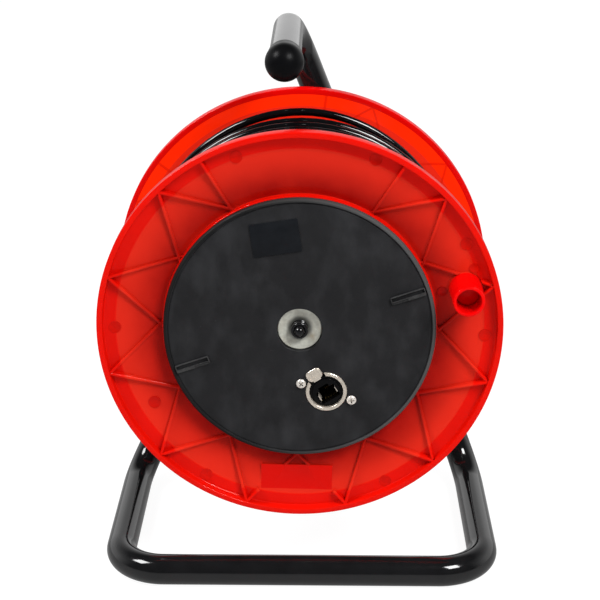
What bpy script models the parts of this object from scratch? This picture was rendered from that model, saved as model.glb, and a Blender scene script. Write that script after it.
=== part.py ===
"""Network cable reel: a drum of network cable on a bent tube stand, with a socket in its hub.

Metres, +Z up. +X is to the right and +Y away, as seen from the front of the reel.
The origin is on the floor under the middle of the reel. The pieces of the drum are drawn
about its axle: x and z from the axle, y (called depth) back from the front rim.
"""

import math

import bmesh
import bpy
import numpy as np
from mathutils import Matrix, Vector

# Stand: one bent tube
TUBE_R = 0.009
TUBE_BORE_R = 0.0075
TUBE_SIDES = 16
BEND_R = 0.028
BEND_STEPS = 6
BASE_HALF = 0.1095
BAR_DEPTH = -0.0052
LEG_DEPTH = 0.137
LEFT_LEAN = math.radians(27.5)
HANDLE_X = -0.0091
HANDLE_Z = 0.3101
HANDLE_END_DEPTH = 0.0113
HANDLE_BORE_DEPTH = 0.013

# Handle's end cap
CAP_R = 0.01065
CAP_DEPTH = 0.0071
CAP_SKIRT_R = 0.0099
CAP_SKIRT_START = 0.0116
CAP_SKIRT_END = 0.0205
CAP_PLUG_LENGTH = 0.0115

# Drum
DRUM_WIDTH = 0.120
FLANGE_R = 0.115
RIM_WALL = 0.0033
RIM_DEPTH = 0.008
WEB = 0.002
WEB_OUTER_DEPTH = 0.006
WEB_INNER_DEPTH = 0.010
LIP_OUTER_R = 0.0779
LIP_INNER_R = 0.0765
LIP_DEPTH = 0.00505
CUP_R = 0.0731
CUP_WALL = 0.0026
CUP_FLOOR_DEPTH = 0.052
CUP_FLOOR = 0.0025
HUB_BACK = WEB_INNER_DEPTH + WEB
HUB_STEP_DEPTH = 0.0100
REAR_SPIGOT = 0.010
REAR_FLOOR_DEPTH = 0.0095
REAR_BOSS_DEPTH = 0.0057
BARREL_R = 0.076
BOSS_R = 0.010
BOSS_BORE_R = 0.0066
BOSS_FRONT_DEPTH = 0.0081
BUSH_WALL = 0.0010
FRONT_BUSH_END = 0.030
REAR_BUSH_START = 0.105
REAR_BUSH_SHOULDER = 0.1146
REAR_BUSH_END = 0.1163
REAR_BUSH_SHOULDER_R = 0.0088
DRUM_TURN = math.radians(-1.1)
REAR_TURN = math.radians(22.4)
FLANGE_SEGMENTS = 40

# Ribs of the flanges: a zigzag between the hub lip and the rim
RIB_COUNT = 12
RIB_WALL = 0.0016
RIB_INNER_R = 0.0792
RIB_OUTER_R = 0.1120
RIB_INNER_REACH = 0.0026
RIB_OUTER_REACH = 0.0015
RIB_LEVEL = 0.0001
RIB_RIM_DEPTH = 0.0009
RIB_HUB_DEPTH = 0.0078
SMOOTH_PANEL = math.radians(60)
PAD_WIDTH = 0.042
PAD_INNER_R = 0.0860
PAD_OUTER_R = 0.1015
PAD_DEPTH = 0.0065

# Axle and what holds the drum on it
AXLE_X = -0.0009
AXLE_Z = 0.1582
AXLE_R = 0.005
AXLE_SHOULDER_R = 0.008
AXLE_SHOULDER = 0.004
AXLE_REAR = 0.0135
STUD_R = 0.0031
STUD_TIP_DEPTH = -0.0026
STUD_DOME = 0.0030
COLLAR_R = 0.0050
COLLAR_LENGTH = 0.0054
COLLAR_BEVEL = 0.0006
WASHER_R = 0.0125
WASHER_FLAT_R = 0.0066
WASHER_BACK_DEPTH = 0.0075
WASHER_DISH = 0.0018
WASHER_WALL = 0.0012
PLATE_DEPTH = 0.125
PLATE_WALL = 0.003
PLATE_HALF_HEIGHT = 0.016
NUT_WASHER_R = 0.0095
NUT_WASHER_WALL = 0.0015
NUT_CORNER_R = 0.0098
NUT_HEIGHT = 0.0070
SPACER_R = 0.0080
SPACER_START = 0.1166

# Hub cover
COVER_R = 0.0774
COVER_DEPTH = 0.00175
COVER_WALL = 0.003
COVER_SKIRT_END = 0.0088
COVER_SKIRT_INSET = 0.0012
COVER_SKIRT_WALL = 0.0020
COVER_EDGE_WIDTH = 0.0014
COVER_EDGE_RISE = 0.0004
COVER_BORE_R = 0.0134
LABEL_SIZE = (0.0273, 0.0193)
LABEL_AT = (-0.0134, 0.0546)
LABEL_TILT = math.radians(8.7)
GRIP_SIZE = (0.0200, 0.0046)
GRIP_R = 0.0645
GRIP_TURN = math.radians(18.9)
GRIP_RISE = 0.0016
LABEL_WALL = 0.0003

# Socket in the hub cover
SOCKET_AT = (0.0153, -0.0374)
SOCKET_TURN = math.radians(32.5)
SOCKET_RING_R = 0.0118
SOCKET_RING_BORE_R = 0.0097
SOCKET_FRONT = 0.0009
SOCKET_BEVEL = 0.0004
SOCKET_PLATE = (0.026, 0.031)
SOCKET_PLATE_WALL = 0.002
SOCKET_BACK_INSET = 0.0005
LATCH_SLOT_HEIGHT = 0.0046
LATCH_SLOT_AT = 0.0106
LATCH_SLOT_END = 0.0063
INSERT_FRONT = 0.0019
INSERT_BACK = 0.0260
NOTCH_SIZE = (0.0064, 0.0040)
NOTCH_END = 0.0120
SOCKET_SCREW_HEAD = (0.00285, 0.0015)
SOCKET_SCREW_LENGTH = 0.0100
SOCKET_BACK_DEPTH = 0.029
SOCKET_HOLES = (0.0095, 0.0120)
JACK_OPENING = (0.0120, 0.0078)
JACK_OPENING_DROP = 0.0019
LATCH_SIZE = (0.0092, 0.0066)
LATCH_AT = 0.0131
LATCH_FRONT = -0.0007
LATCH_WALL = 0.0013
LATCH_CORNER = 0.0012
STEM_SIZE = (0.0050, 0.0013)
LATCH_SPRING_SIZE = (0.0044, 0.0010, 0.0002)
STEM_AT = 0.0108
STEM_END = 0.0046
SOCKET_SCREW_R = 0.0012
CONTACT_PITCH = 0.00102
CONTACT_WIRE = (0.00045, 0.0005)
CONTACT_LENGTH = 0.0125
CONTACT_FRONT = 0.0060
CONTACT_SLOPE = math.radians(12)
CONTACT_BAR = (0.0007, 0.0110, 0.0120)
SHIELD_SPRING = (0.0005, 0.0034)
SHIELD_SPRING_ENDS = (0.0023, 0.0090)
TERMINAL_R = 0.0092
TERMINAL_NECK_R = 0.0078
TERMINAL_STEP = 0.0300
JACK_BACK_DEPTH = 0.0200
LEAD_START_DEPTH = 0.0345

# Winding knob
KNOB_AT = (0.0965, math.radians(14.6))
KNOB_MOUTH_DEPTH = -0.0175
KNOB_BASE_DEPTH = 0.0056
KNOB_R = 0.00875
KNOB_FLARE = 0.0013
KNOB_BORE_R = 0.0070
KNOB_FLOOR_DEPTH = -0.0030
KNOB_SEAT_R = 0.0112
KNOB_ROOM_R = 0.0105
KNOB_STUB_R = 0.0042
KNOB_STUB_HEIGHT = 0.0053
KNOB_LIP = 0.0005
KNOB_PIN_R = 0.0023
PIN_HEAD_R = 0.0064
PIN_HEAD = 0.0012
PIN_END = 0.0078

# Screws that hold the drum together, and the clamp on the lead inside it
TIE_R = 0.0020
TIE_HEAD = (0.0039, 0.0027)
TIE_NUT_R = 0.0040
TIE_NUT_HEIGHT = 0.0035
TIE_CIRCLE_R = 0.050
TIE_COUNT = 4
TIE_TURN = math.radians(45)
CLAMP_AT = (-0.0250, -0.0250)
CLAMP_TURN = math.radians(133)
CLAMP_SCREW_R = 0.0012
CLAMP_SCREW_HEAD = (0.0024, 0.0014)
CLAMP_SCREW_BITE = 0.0018
CLAMP_HOLE_REACH = 0.0065
CLAMP_SIZE = (0.0060, 0.0190)
CLAMP_ROOF = 0.0016
LEAD_CLEARANCE = 0.0004

# Cable and its plug
CABLE_R = 0.0024
CABLE_LAYER_R = 0.0976
CABLE_CORE_R = 0.0940
CABLE_LAYER_TURNS = 15.5
CABLE_FIRST_DEPTH = 0.0132
CABLE_LAST_DEPTH = 0.0945
CABLE_HUMPS = (0.0827, 0.0932)
CABLE_HUMP_RISE = 0.0015
CABLE_HUMP_REACH = 0.0045
CABLE_LOOSE_DEPTH = 0.1000
CABLE_LOOSE_RISE = 0.0060
CABLE_LOOSE_FALL = 0.0041
RISE_FROM = math.radians(25)
RISE_SPAN = math.radians(65)
FALL_FROM = math.radians(90)
FALL_SPAN = math.radians(60)
LOOP_POINTS = 24
TAIL_LEAVES = math.radians(150)
PLUG_TURN = math.radians(190)
PLUG_AXIS_R = 0.105
PLUG_SIZE = (0.0117, 0.0080, 0.0215)
BOOT_LENGTH = 0.0215
LEAD_HOLE_TURN = math.radians(162)
LEAD_HOLE_DEPTH = 0.017
LEAD_HOLE_R = 0.0030

# Gap between pieces that touch, and how far a cutting shape runs past what it cuts
GAP = 0.0003
CUT = 0.010

# Where the drum stands: the reel's knob and the back of its stand are equally far from the origin
REAR_DEPTH = LEG_DEPTH + TUBE_R
FRONT_RIM_Y = -(KNOB_MOUTH_DEPTH + REAR_DEPTH) / 2

# Colour, roughness and metallic value of each finish
RED_PLASTIC = ((0.75, 0.020, 0.010), 0.35, 0.0)
BLACK_PLASTIC = ((0.022, 0.022, 0.024), 0.55, 0.0)
BLACK_GLOSS = ((0.006, 0.006, 0.006), 0.20, 0.0)
BLACK_PAINT = ((0.008, 0.008, 0.009), 0.12, 0.0)
CABLE_SHEATH = ((0.008, 0.008, 0.008), 0.30, 0.0)
ZINC = ((0.55, 0.56, 0.54), 0.35, 1.0)
NICKEL = ((0.70, 0.66, 0.60), 0.22, 1.0)
STEEL = ((0.45, 0.45, 0.46), 0.35, 1.0)
GOLD = ((0.85, 0.60, 0.22), 0.25, 1.0)
CLEAR_PLASTIC = ((0.75, 0.78, 0.80), 0.15, 0.0)
NYLON = ((0.80, 0.80, 0.76), 0.45, 0.0)


# Building tools

def clear_scene():
    """Remove every object that is already in the file."""
    for old in list(bpy.data.objects):
        bpy.data.objects.remove(old, do_unlink=True)


def axis_empty(name, location, parent=None, turn=0.0):
    """An empty that carries the pieces turning about the Y axis through it."""
    empty = bpy.data.objects.new(name, None)
    bpy.context.scene.collection.objects.link(empty)
    empty.parent = parent
    empty.location = location
    empty.rotation_euler = (0.0, turn, 0.0)
    return empty


def add_object(name, data, finish, parent=None):
    """Put a mesh or curve in the scene as one named piece with its own material."""
    colour, roughness, metallic = finish
    material = bpy.data.materials.new(name)
    material.use_nodes = True
    shader = material.node_tree.nodes["Principled BSDF"]
    shader.inputs["Base Color"].default_value = (*colour, 1.0)
    shader.inputs["Roughness"].default_value = roughness
    shader.inputs["Metallic"].default_value = metallic
    data.materials.append(material)
    piece = bpy.data.objects.new(name, data)
    bpy.context.scene.collection.objects.link(piece)
    piece.parent = parent
    return piece


def finish_mesh(name, shape):
    """Close a bmesh into a mesh with outward faces, smooth on its round sides."""
    bmesh.ops.remove_doubles(shape, verts=shape.verts, dist=1e-6)
    bmesh.ops.recalc_face_normals(shape, faces=shape.faces)
    mesh = bpy.data.meshes.new(name)
    shape.to_mesh(mesh)
    shape.free()
    mesh.shade_smooth()
    mesh.set_sharp_from_angle(angle=math.radians(35))
    return mesh


def turned(name, profile, segments):
    """Mesh of a (radius, depth) profile turned about the Y axis; it may start and end on the axis."""
    shape = bmesh.new()
    corners = [shape.verts.new((radius, depth, 0.0)) for radius, depth in profile]
    edges = [shape.edges.new(pair) for pair in zip(corners, corners[1:])]
    if profile[0][0] > 0.0:
        edges.append(shape.edges.new((corners[-1], corners[0])))
    bmesh.ops.spin(shape, geom=corners + edges, cent=(0.0, 0.0, 0.0), axis=(0.0, 1.0, 0.0),
                   angle=math.tau, steps=segments, use_merge=True)
    return finish_mesh(name, shape)


def rod_profile(radius, low, high):
    """Profile of a plain round bar."""
    return [(0.0, low), (radius, low), (radius, high), (0.0, high)]


def ring_profile(inner, outer, low, high):
    """Profile of a plain ring."""
    return [(inner, low), (outer, low), (outer, high), (inner, high)]


def prism(name, outline, low, high):
    """Mesh of an (x, z) outline drawn out along Y from low to high."""
    shape = bmesh.new()
    front = shape.faces.new([shape.verts.new((x, low, z)) for x, z in outline])
    drawn = bmesh.ops.extrude_face_region(shape, geom=[front])
    back = [item for item in drawn["geom"] if isinstance(item, bmesh.types.BMVert)]
    bmesh.ops.translate(shape, verts=back, vec=(0.0, high - low, 0.0))
    return finish_mesh(name, shape)


def rectangle(width, height, x=0.0, z=0.0, turn=0.0):
    """Outline of a rectangle about (x, z), turned from +X towards +Z."""
    corners = [(-0.5, -0.5), (0.5, -0.5), (0.5, 0.5), (-0.5, 0.5)]
    cos, sin = math.cos(turn), math.sin(turn)
    return [(x + u * width * cos - v * height * sin, z + u * width * sin + v * height * cos)
            for u, v in corners]


def copies(name, mesh, matrices):
    """Mesh of several separate copies of one shape."""
    shape = bmesh.new()
    for matrix in matrices:
        start = len(shape.verts)
        shape.from_mesh(mesh)
        shape.verts.ensure_lookup_table()
        bmesh.ops.transform(shape, matrix=matrix, verts=shape.verts[start:])
    return finish_mesh(name, shape)


def shifts(places):
    """One moving matrix for each (x, z) place."""
    return [Matrix.Translation((x, 0.0, z)) for x, z in places]


def polar(radius, angle):
    """(x, z) at a radius from the axle, the angle counted from +X towards +Z."""
    return radius * math.cos(angle), radius * math.sin(angle)


def around(radius, count, first=0.0):
    """Evenly spaced (x, z) places round the axle."""
    return [polar(radius, first + math.tau * step / count) for step in range(count)]


def combine(target, operation, name, mesh):
    """Cut a shape out of a piece, or join a shape to it, with a Boolean modifier."""
    tool = bpy.data.objects.new(name, mesh)
    bpy.context.scene.collection.objects.link(tool)
    tool.parent = target.parent
    tool.hide_render = True
    tool.display_type = "WIRE"
    modifier = target.modifiers.new(name, "BOOLEAN")
    modifier.operation = operation
    modifier.object = tool
    return modifier


def rounded(corners, radius, steps):
    """Points along straight runs between corners, with an arc of the radius at each corner."""
    points = [corners[0]]
    for before, corner, after in zip(corners, corners[1:], corners[2:]):
        back = (before - corner).normalized()
        ahead = (after - corner).normalized()
        half = back.angle(ahead) / 2
        centre = corner + (back + ahead).normalized() * radius / math.sin(half)
        arm = corner + back * radius / math.tan(half) - centre
        axis = back.cross(ahead)
        sweep = 2 * half - math.pi
        points += [centre + Matrix.Rotation(sweep * step / steps, 3, axis) @ arm
                   for step in range(steps + 1)]
    points.append(corners[-1])
    return points


def ring_frames(points, anchor, up):
    """Tangent and side direction at each point, carried without twist from the anchor point."""
    last = len(points) - 1
    tangents = [(points[min(i + 1, last)] - points[max(i - 1, 0)]).normalized()
                for i in range(last + 1)]
    sides = [None] * (last + 1)
    sides[anchor] = up
    for step, stop in ((1, last), (-1, 0)):
        for i in range(anchor, stop, step):
            turn = tangents[i].rotation_difference(tangents[i + step])
            sides[i + step] = turn @ sides[i]
    return tangents, sides


def swept_tube(name, points, radius, sides, anchor, up):
    """Closed round bar along the points, one of its flats facing up and one down at the anchor."""
    shape = bmesh.new()
    corner_r = radius / math.cos(math.pi / sides)
    tangents, ups = ring_frames(points, anchor, up)
    rings = []
    for point, tangent, side in zip(points, tangents, ups):
        angles = [math.tau * (k + 0.5) / sides for k in range(sides)]
        rings.append([shape.verts.new(point + Matrix.Rotation(angle, 3, tangent) @ side * corner_r)
                      for angle in angles])
    for ring, following in zip(rings, rings[1:]):
        for k in range(sides):
            shape.faces.new((ring[k - 1], ring[k], following[k], following[k - 1]))
    shape.faces.new(rings[0])
    shape.faces.new(rings[-1])
    return finish_mesh(name, shape)


def smooth_route(points, spacing):
    """Evenly spaced points on the smooth curve through the given points."""
    ends = [2 * points[0] - points[1]] + points + [2 * points[-1] - points[-2]]
    dense = []
    for p0, p1, p2, p3 in zip(ends, ends[1:], ends[2:], ends[3:]):
        for t in np.linspace(0.0, 1.0, 24, endpoint=False):
            dense.append(0.5 * (2 * p1 + (p2 - p0) * t + (2 * p0 - 5 * p1 + 4 * p2 - p3) * t ** 2
                                + (3 * p1 - p0 - 3 * p2 + p3) * t ** 3))
    dense = np.array(dense + [points[-1]])
    along = np.concatenate([[0.0], np.cumsum(np.linalg.norm(np.diff(dense, axis=0), axis=1))])
    count = max(2, round(along[-1] / spacing) + 1)
    places = np.linspace(0.0, along[-1], count)
    return np.column_stack([np.interp(places, along, dense[:, axis]) for axis in range(3)])


def cable_curve(name, points, resolution):
    """Curve of the cable's thickness along the points, with closed ends."""
    curve = bpy.data.curves.new(name, "CURVE")
    curve.dimensions = "3D"
    curve.bevel_depth = CABLE_R
    curve.bevel_resolution = resolution
    curve.use_fill_caps = True
    spline = curve.splines.new("POLY")
    spline.points.add(len(points) - 1)
    for knot, point in zip(spline.points, points):
        knot.co = (*point, 1.0)
    return curve


# Stand

def stand_corners():
    """Corners of the tube's centreline, from the handle's end to the top of the left leg."""
    rear = FRONT_RIM_Y + LEG_DEPTH
    bar = FRONT_RIM_Y + BAR_DEPTH
    handle_top = Vector((HANDLE_X, rear, HANDLE_Z))
    right_rear = Vector((BASE_HALF, rear, TUBE_R))
    left_rear = Vector((-BASE_HALF, rear, TUBE_R))
    right_slope = (BASE_HALF - HANDLE_X) / (HANDLE_Z - TUBE_R)
    left_slope = math.tan(LEFT_LEAN)
    meeting = 2 * BASE_HALF / (right_slope + left_slope)
    left_top = Vector((left_slope * meeting - BASE_HALF, rear, TUBE_R + meeting))
    return [Vector((HANDLE_X, FRONT_RIM_Y + HANDLE_END_DEPTH, HANDLE_Z)), handle_top, right_rear,
            Vector((BASE_HALF, bar, TUBE_R)), Vector((-BASE_HALF, bar, TUBE_R)), left_rear, left_top]


def build_stand():
    """Bent tube stand, its left leg welded to the right one behind the drum."""
    corners = stand_corners()
    points = rounded(corners, BEND_R, BEND_STEPS)
    bar_start = 1 + 3 * (BEND_STEPS + 1)
    mesh = swept_tube("stand_tube", points, TUBE_R, TUBE_SIDES, bar_start, Vector((0.0, 0.0, 1.0)))
    stand = add_object("stand_tube", mesh, BLACK_PAINT)
    end = corners[0]
    bore = turned("handle_bore", rod_profile(TUBE_BORE_R, -CUT, HANDLE_BORE_DEPTH), TUBE_SIDES)
    bore.transform(Matrix.Translation(end))
    combine(stand, "DIFFERENCE", "handle_bore", bore)
    bead_shape = bmesh.new()
    bmesh.ops.create_uvsphere(bead_shape, u_segments=TUBE_SIDES, v_segments=8, radius=TUBE_R * 1.02)
    bead = finish_mesh("weld_bead", bead_shape)
    bead.transform(Matrix.Translation(corners[-1] - (corners[-1] - corners[-2]).normalized() * TUBE_R))
    weld = combine(stand, "UNION", "weld_bead", bead)
    weld.use_self = True


def build_handle_cap():
    """Ball-ended plastic cap over the handle's open end, with a plug into its bore."""
    ball = [(CAP_R * math.sin(a), CAP_DEPTH - CAP_R * math.cos(a))
            for a in np.radians(np.arange(0, 109, 18))]
    profile = ball + [
        (CAP_SKIRT_R, CAP_SKIRT_START), (CAP_SKIRT_R, CAP_SKIRT_END),
        (TUBE_R / math.cos(math.pi / TUBE_SIDES) + GAP, CAP_SKIRT_END),
        (TUBE_R / math.cos(math.pi / TUBE_SIDES) + GAP, HANDLE_END_DEPTH - GAP),
        (TUBE_BORE_R - 2 * GAP, HANDLE_END_DEPTH - GAP),
        (TUBE_BORE_R - 2 * GAP, HANDLE_END_DEPTH + CAP_PLUG_LENGTH),
        (0.0, HANDLE_END_DEPTH + CAP_PLUG_LENGTH)]
    mesh = turned("handle_cap", profile, 16)
    cap = add_object("handle_cap", mesh, BLACK_PLASTIC)
    cap.location = (HANDLE_X, FRONT_RIM_Y, HANDLE_Z)


def leg_x(height):
    """X of the left and the right leg's centreline at a height above the floor."""
    rise = height - TUBE_R
    right_slope = (BASE_HALF - HANDLE_X) / (HANDLE_Z - TUBE_R)
    return math.tan(LEFT_LEAN) * rise - BASE_HALF, BASE_HALF - right_slope * rise


def build_axle_plate(reel):
    """Flat steel plate across both legs at the axle's height, with the axle's hole."""
    outline = []
    for height in (-PLATE_HALF_HEIGHT, PLATE_HALF_HEIGHT):
        left, right = leg_x(AXLE_Z + height)
        ends = [(left - AXLE_X, height), (right - AXLE_X, height)]
        outline += ends if height < 0 else ends[::-1]
    plate = add_object("axle_plate", prism("axle_plate", outline, PLATE_DEPTH,
                                           PLATE_DEPTH + PLATE_WALL - GAP), BLACK_PAINT, reel)
    hole = turned("axle_hole", rod_profile(AXLE_R + GAP, PLATE_DEPTH - 0.01, PLATE_DEPTH + 0.01), 16)
    combine(plate, "DIFFERENCE", "axle_hole", hole)


# Axle

def build_axle(reel):
    """Black rod with a shoulder at its rear, stepped down to a domed stud at its front."""
    dome = [(STUD_R * math.sin(a), STUD_TIP_DEPTH + STUD_DOME * (1 - math.cos(a)))
            for a in np.radians([0, 30, 60, 90])]
    seat = PLATE_DEPTH - GAP
    rear = PLATE_DEPTH + AXLE_REAR
    profile = dome + [
        (STUD_R, WASHER_BACK_DEPTH + GAP), (AXLE_R, WASHER_BACK_DEPTH + GAP),
        (AXLE_R, seat - AXLE_SHOULDER), (AXLE_SHOULDER_R, seat - AXLE_SHOULDER),
        (AXLE_SHOULDER_R, seat), (AXLE_R, seat), (AXLE_R, rear), (0.0, rear)]
    add_object("axle", turned("axle", profile, 16), BLACK_PAINT, reel)


def build_axle_washer(reel):
    """Dished zinc washer on the stud, its rim standing forward."""
    bore = STUD_R + GAP
    back = WASHER_BACK_DEPTH
    front = back - WASHER_WALL
    profile = [(bore, back), (bore, front), (WASHER_FLAT_R, front), (WASHER_R, front - WASHER_DISH),
               (WASHER_R, back - WASHER_DISH), (WASHER_FLAT_R, back)]
    add_object("axle_washer", turned("axle_washer", profile, 24), ZINC, reel)


def build_axle_retainer(reel):
    """Black push-on collar on the stud, which keeps the washer and the drum on the axle."""
    back = WASHER_BACK_DEPTH - WASHER_WALL - GAP
    front = back - COLLAR_LENGTH
    inner = STUD_R + GAP
    profile = [(inner, back), (inner, front), (COLLAR_R - COLLAR_BEVEL, front),
               (COLLAR_R, front + COLLAR_BEVEL), (COLLAR_R, back)]
    add_object("axle_retainer", turned("axle_retainer", profile, 16), BLACK_PAINT, reel)


def build_axle_nut(reel):
    """Hexagon nut and flat washer that clamp the axle to the plate from behind."""
    low = PLATE_DEPTH + PLATE_WALL
    section = ring_profile(AXLE_R + GAP, NUT_WASHER_R, low, low + NUT_WASHER_WALL)
    add_object("axle_nut_washer", turned("axle_nut_washer", section, 16), ZINC, reel)
    corners = around(NUT_CORNER_R, 6)
    front = low + NUT_WASHER_WALL + GAP
    nut = add_object("axle_nut", prism("axle_nut", corners, front, front + NUT_HEIGHT), ZINC, reel)
    bore = turned("nut_bore", rod_profile(AXLE_R + GAP, low, front + 2 * NUT_HEIGHT), 16)
    combine(nut, "DIFFERENCE", "nut_bore", bore)


def build_bushes(drum):
    """Nylon bush in each boss of the drum, which runs on the axle."""
    inner = AXLE_R + GAP
    outer = inner + BUSH_WALL
    section = ring_profile(inner, outer, WASHER_BACK_DEPTH + GAP, FRONT_BUSH_END)
    add_object("front_bush", turned("front_bush", section, 16), NYLON, drum)
    profile = [(inner, REAR_BUSH_START), (outer, REAR_BUSH_START), (outer, REAR_BUSH_SHOULDER),
               (REAR_BUSH_SHOULDER_R, REAR_BUSH_SHOULDER), (REAR_BUSH_SHOULDER_R, REAR_BUSH_END),
               (inner, REAR_BUSH_END)]
    add_object("rear_bush", turned("rear_bush", profile, 16), NYLON, drum)


def build_axle_spacer(reel):
    """Ring on the axle that keeps the drum clear of the stand's plate."""
    profile = ring_profile(AXLE_R + GAP, SPACER_R, SPACER_START, PLATE_DEPTH - AXLE_SHOULDER - 2 * GAP)
    add_object("axle_spacer", turned("axle_spacer", profile, 16), NYLON, reel)


# Drum

def rib_ends(turn):
    """Inner end, outer end and level of each rib; ribs that cross differ a little in level."""
    step = math.tau / RIB_COUNT
    first = math.pi / 2 + SMOOTH_PANEL / 2 + turn
    last = math.pi / 2 - SMOOTH_PANEL / 2 + math.tau + turn
    lines = [(first, first, 2), (last, last, 2)]
    for bay in range(round((last - first) / step)):
        tip = first + (bay + 0.5) * step
        lines += [(tip - step / 2, tip, 0), (tip + step / 2, tip, 1)]
    return [(Vector(polar(RIB_INNER_R, inner)), Vector(polar(RIB_OUTER_R, outer)), level)
            for inner, outer, level in lines]


def web_middle(radius):
    """Depth of the middle of the dished web at a radius."""
    share = (radius - LIP_OUTER_R) / (FLANGE_R - RIM_WALL - LIP_OUTER_R)
    return WEB_INNER_DEPTH + (WEB_OUTER_DEPTH - WEB_INNER_DEPTH) * share + WEB / 2


def add_wall(shape, ends, width, fronts):
    """Add a straight wall between two (x, z) ends, rooted in the web, with a front depth at each end."""
    side = (ends[1] - ends[0]).orthogonal().normalized() * width / 2
    rings = []
    for middle, front in zip(ends, fronts):
        back = web_middle(middle.length)
        corners = ((-1, front), (1, front), (1, back), (-1, back))
        rings.append([shape.verts.new(((middle + side * way).x, depth, (middle + side * way).y))
                      for way, depth in corners])
    for k in range(4):
        shape.faces.new((rings[0][k - 1], rings[0][k], rings[1][k], rings[1][k - 1]))
    shape.faces.new(rings[0])
    shape.faces.new(rings[1])


def rib_runs(inner, outer, turn):
    """Shares of a rib's length where it stands: it runs into lip and rim, and stops at the pad."""
    length = (outer - inner).length
    into_lip, into_rim = -RIB_INNER_REACH / length, 1 + RIB_OUTER_REACH / length
    radial = Vector(polar(1.0, turn - math.pi / 2))
    across = abs(((inner + outer) / 2).dot(radial.orthogonal()))
    start, end = inner.dot(radial), outer.dot(radial)
    if start < 0 or across > PAD_WIDTH / 2:
        return [(into_lip, into_rim)]
    return [(into_lip, (PAD_INNER_R - start) / (end - start)),
            ((PAD_OUTER_R - start) / (end - start), into_rim)]


def flange_relief(name, turn):
    """Mesh of a flange's ribs and its label pad, all overlapping where they meet."""
    shape = bmesh.new()
    for inner, outer, level in rib_ends(turn):
        for run in rib_runs(inner, outer, turn):
            ends = [inner.lerp(outer, share) for share in run]
            fronts = [RIB_HUB_DEPTH + (RIB_RIM_DEPTH - RIB_HUB_DEPTH) * share + RIB_LEVEL * level
                      for share in run]
            add_wall(shape, ends, RIB_WALL, fronts)
    down = turn - math.pi / 2
    pad = [Vector(polar(radius, down)) for radius in (PAD_INNER_R, PAD_OUTER_R)]
    add_wall(shape, pad, PAD_WIDTH, (PAD_DEPTH, PAD_DEPTH))
    return finish_mesh(name, shape)


def add_relief(flange, mesh):
    """Join the ribs and the pad to a flange."""
    relief = combine(flange, "UNION", mesh.name, mesh)
    relief.use_self = True


def face_back(mesh):
    """Turn a front shape to the drum's rear, as deep from the rear face as it was from the front."""
    mirror = Matrix.Scale(-1.0, 4, (0.0, 1.0, 0.0))
    mesh.transform(Matrix.Translation((0.0, DRUM_WIDTH, 0.0)) @ mirror)
    mesh.flip_normals()
    return mesh


def hub_lip():
    """Section of the lip round the hub and the dished web out to the rim's front edge."""
    rim_inner = FLANGE_R - RIM_WALL
    return [(LIP_INNER_R, LIP_DEPTH), (LIP_OUTER_R, LIP_DEPTH), (LIP_OUTER_R, WEB_INNER_DEPTH),
            (rim_inner, WEB_OUTER_DEPTH), (rim_inner, 0.0)]


def rim_and_web_back():
    """Section of the rim's outside and the web's cable side, in to the hub."""
    return [(FLANGE_R, 0.0), (FLANGE_R, RIM_DEPTH), (FLANGE_R - RIM_WALL, RIM_DEPTH),
            (LIP_OUTER_R, HUB_BACK), (CUP_R, HUB_BACK)]


def front_section():
    """Section of the front flange: its hub is a deep cup with a boss for the axle's bush."""
    floor_back = CUP_FLOOR_DEPTH + CUP_FLOOR
    return rim_and_web_back() + [
        (CUP_R, floor_back), (BOSS_BORE_R, floor_back), (BOSS_BORE_R, BOSS_FRONT_DEPTH),
        (BOSS_R, BOSS_FRONT_DEPTH), (BOSS_R, CUP_FLOOR_DEPTH), (CUP_R - CUP_WALL, CUP_FLOOR_DEPTH),
        (CUP_R - CUP_WALL, HUB_STEP_DEPTH), (LIP_INNER_R, HUB_STEP_DEPTH)] + hub_lip()


def rear_section():
    """Section of the rear flange, as depths from the drum's rear face: a shallow closed hub."""
    spigot_end = HUB_BACK + REAR_SPIGOT
    return rim_and_web_back() + [
        (CUP_R, spigot_end), (CUP_R - CUP_WALL, spigot_end), (CUP_R - CUP_WALL, HUB_BACK),
        (BOSS_BORE_R, HUB_BACK), (BOSS_BORE_R, REAR_BOSS_DEPTH), (BOSS_R, REAR_BOSS_DEPTH),
        (BOSS_R, REAR_FLOOR_DEPTH), (LIP_INNER_R, REAR_FLOOR_DEPTH)] + hub_lip()


def radial_rod(name, radius, low, high):
    """Round bar along a radius of the drum, where the lead passes out of the hub."""
    rod = turned(name, rod_profile(radius, low, high), 16)
    rod.transform(Matrix.Rotation(math.radians(-90), 4, "Z"))
    rod.transform(Matrix.Rotation(-LEAD_HOLE_TURN, 4, "Y"))
    rod.transform(Matrix.Translation((0.0, LEAD_HOLE_DEPTH, 0.0)))
    return rod


def drill(target, name, radius, low, high, places):
    """Drill round holes from one depth to another at the (x, z) places."""
    bore = turned(name, rod_profile(radius, low, high), 12)
    combine(target, "DIFFERENCE", name, copies(name, bore, shifts(places)))


def add_knob_stub(flange):
    """Clear the ribs round the knob, and add its raised seat and the stub that it turns on."""
    place = shifts([polar(*KNOB_AT)])[0]
    seat = KNOB_BASE_DEPTH + GAP
    tip = KNOB_BASE_DEPTH - KNOB_STUB_HEIGHT
    root = WEB_INNER_DEPTH - WEB / 2
    room = turned("knob_room", rod_profile(KNOB_ROOM_R, -CUT, seat + GAP), 20)
    room.transform(place)
    combine(flange, "DIFFERENCE", "knob_room", room)
    profile = [(0.0, tip), (KNOB_STUB_R, tip), (KNOB_STUB_R, seat), (KNOB_SEAT_R, seat),
               (KNOB_SEAT_R, root), (0.0, root)]
    stub = turned("knob_stub", profile, 20)
    stub.transform(place)
    combine(flange, "UNION", "knob_stub", stub)
    drill(flange, "knob_pin_bore", KNOB_PIN_R + GAP, -CUT, PIN_END + 2 * GAP, [polar(*KNOB_AT)])


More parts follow.
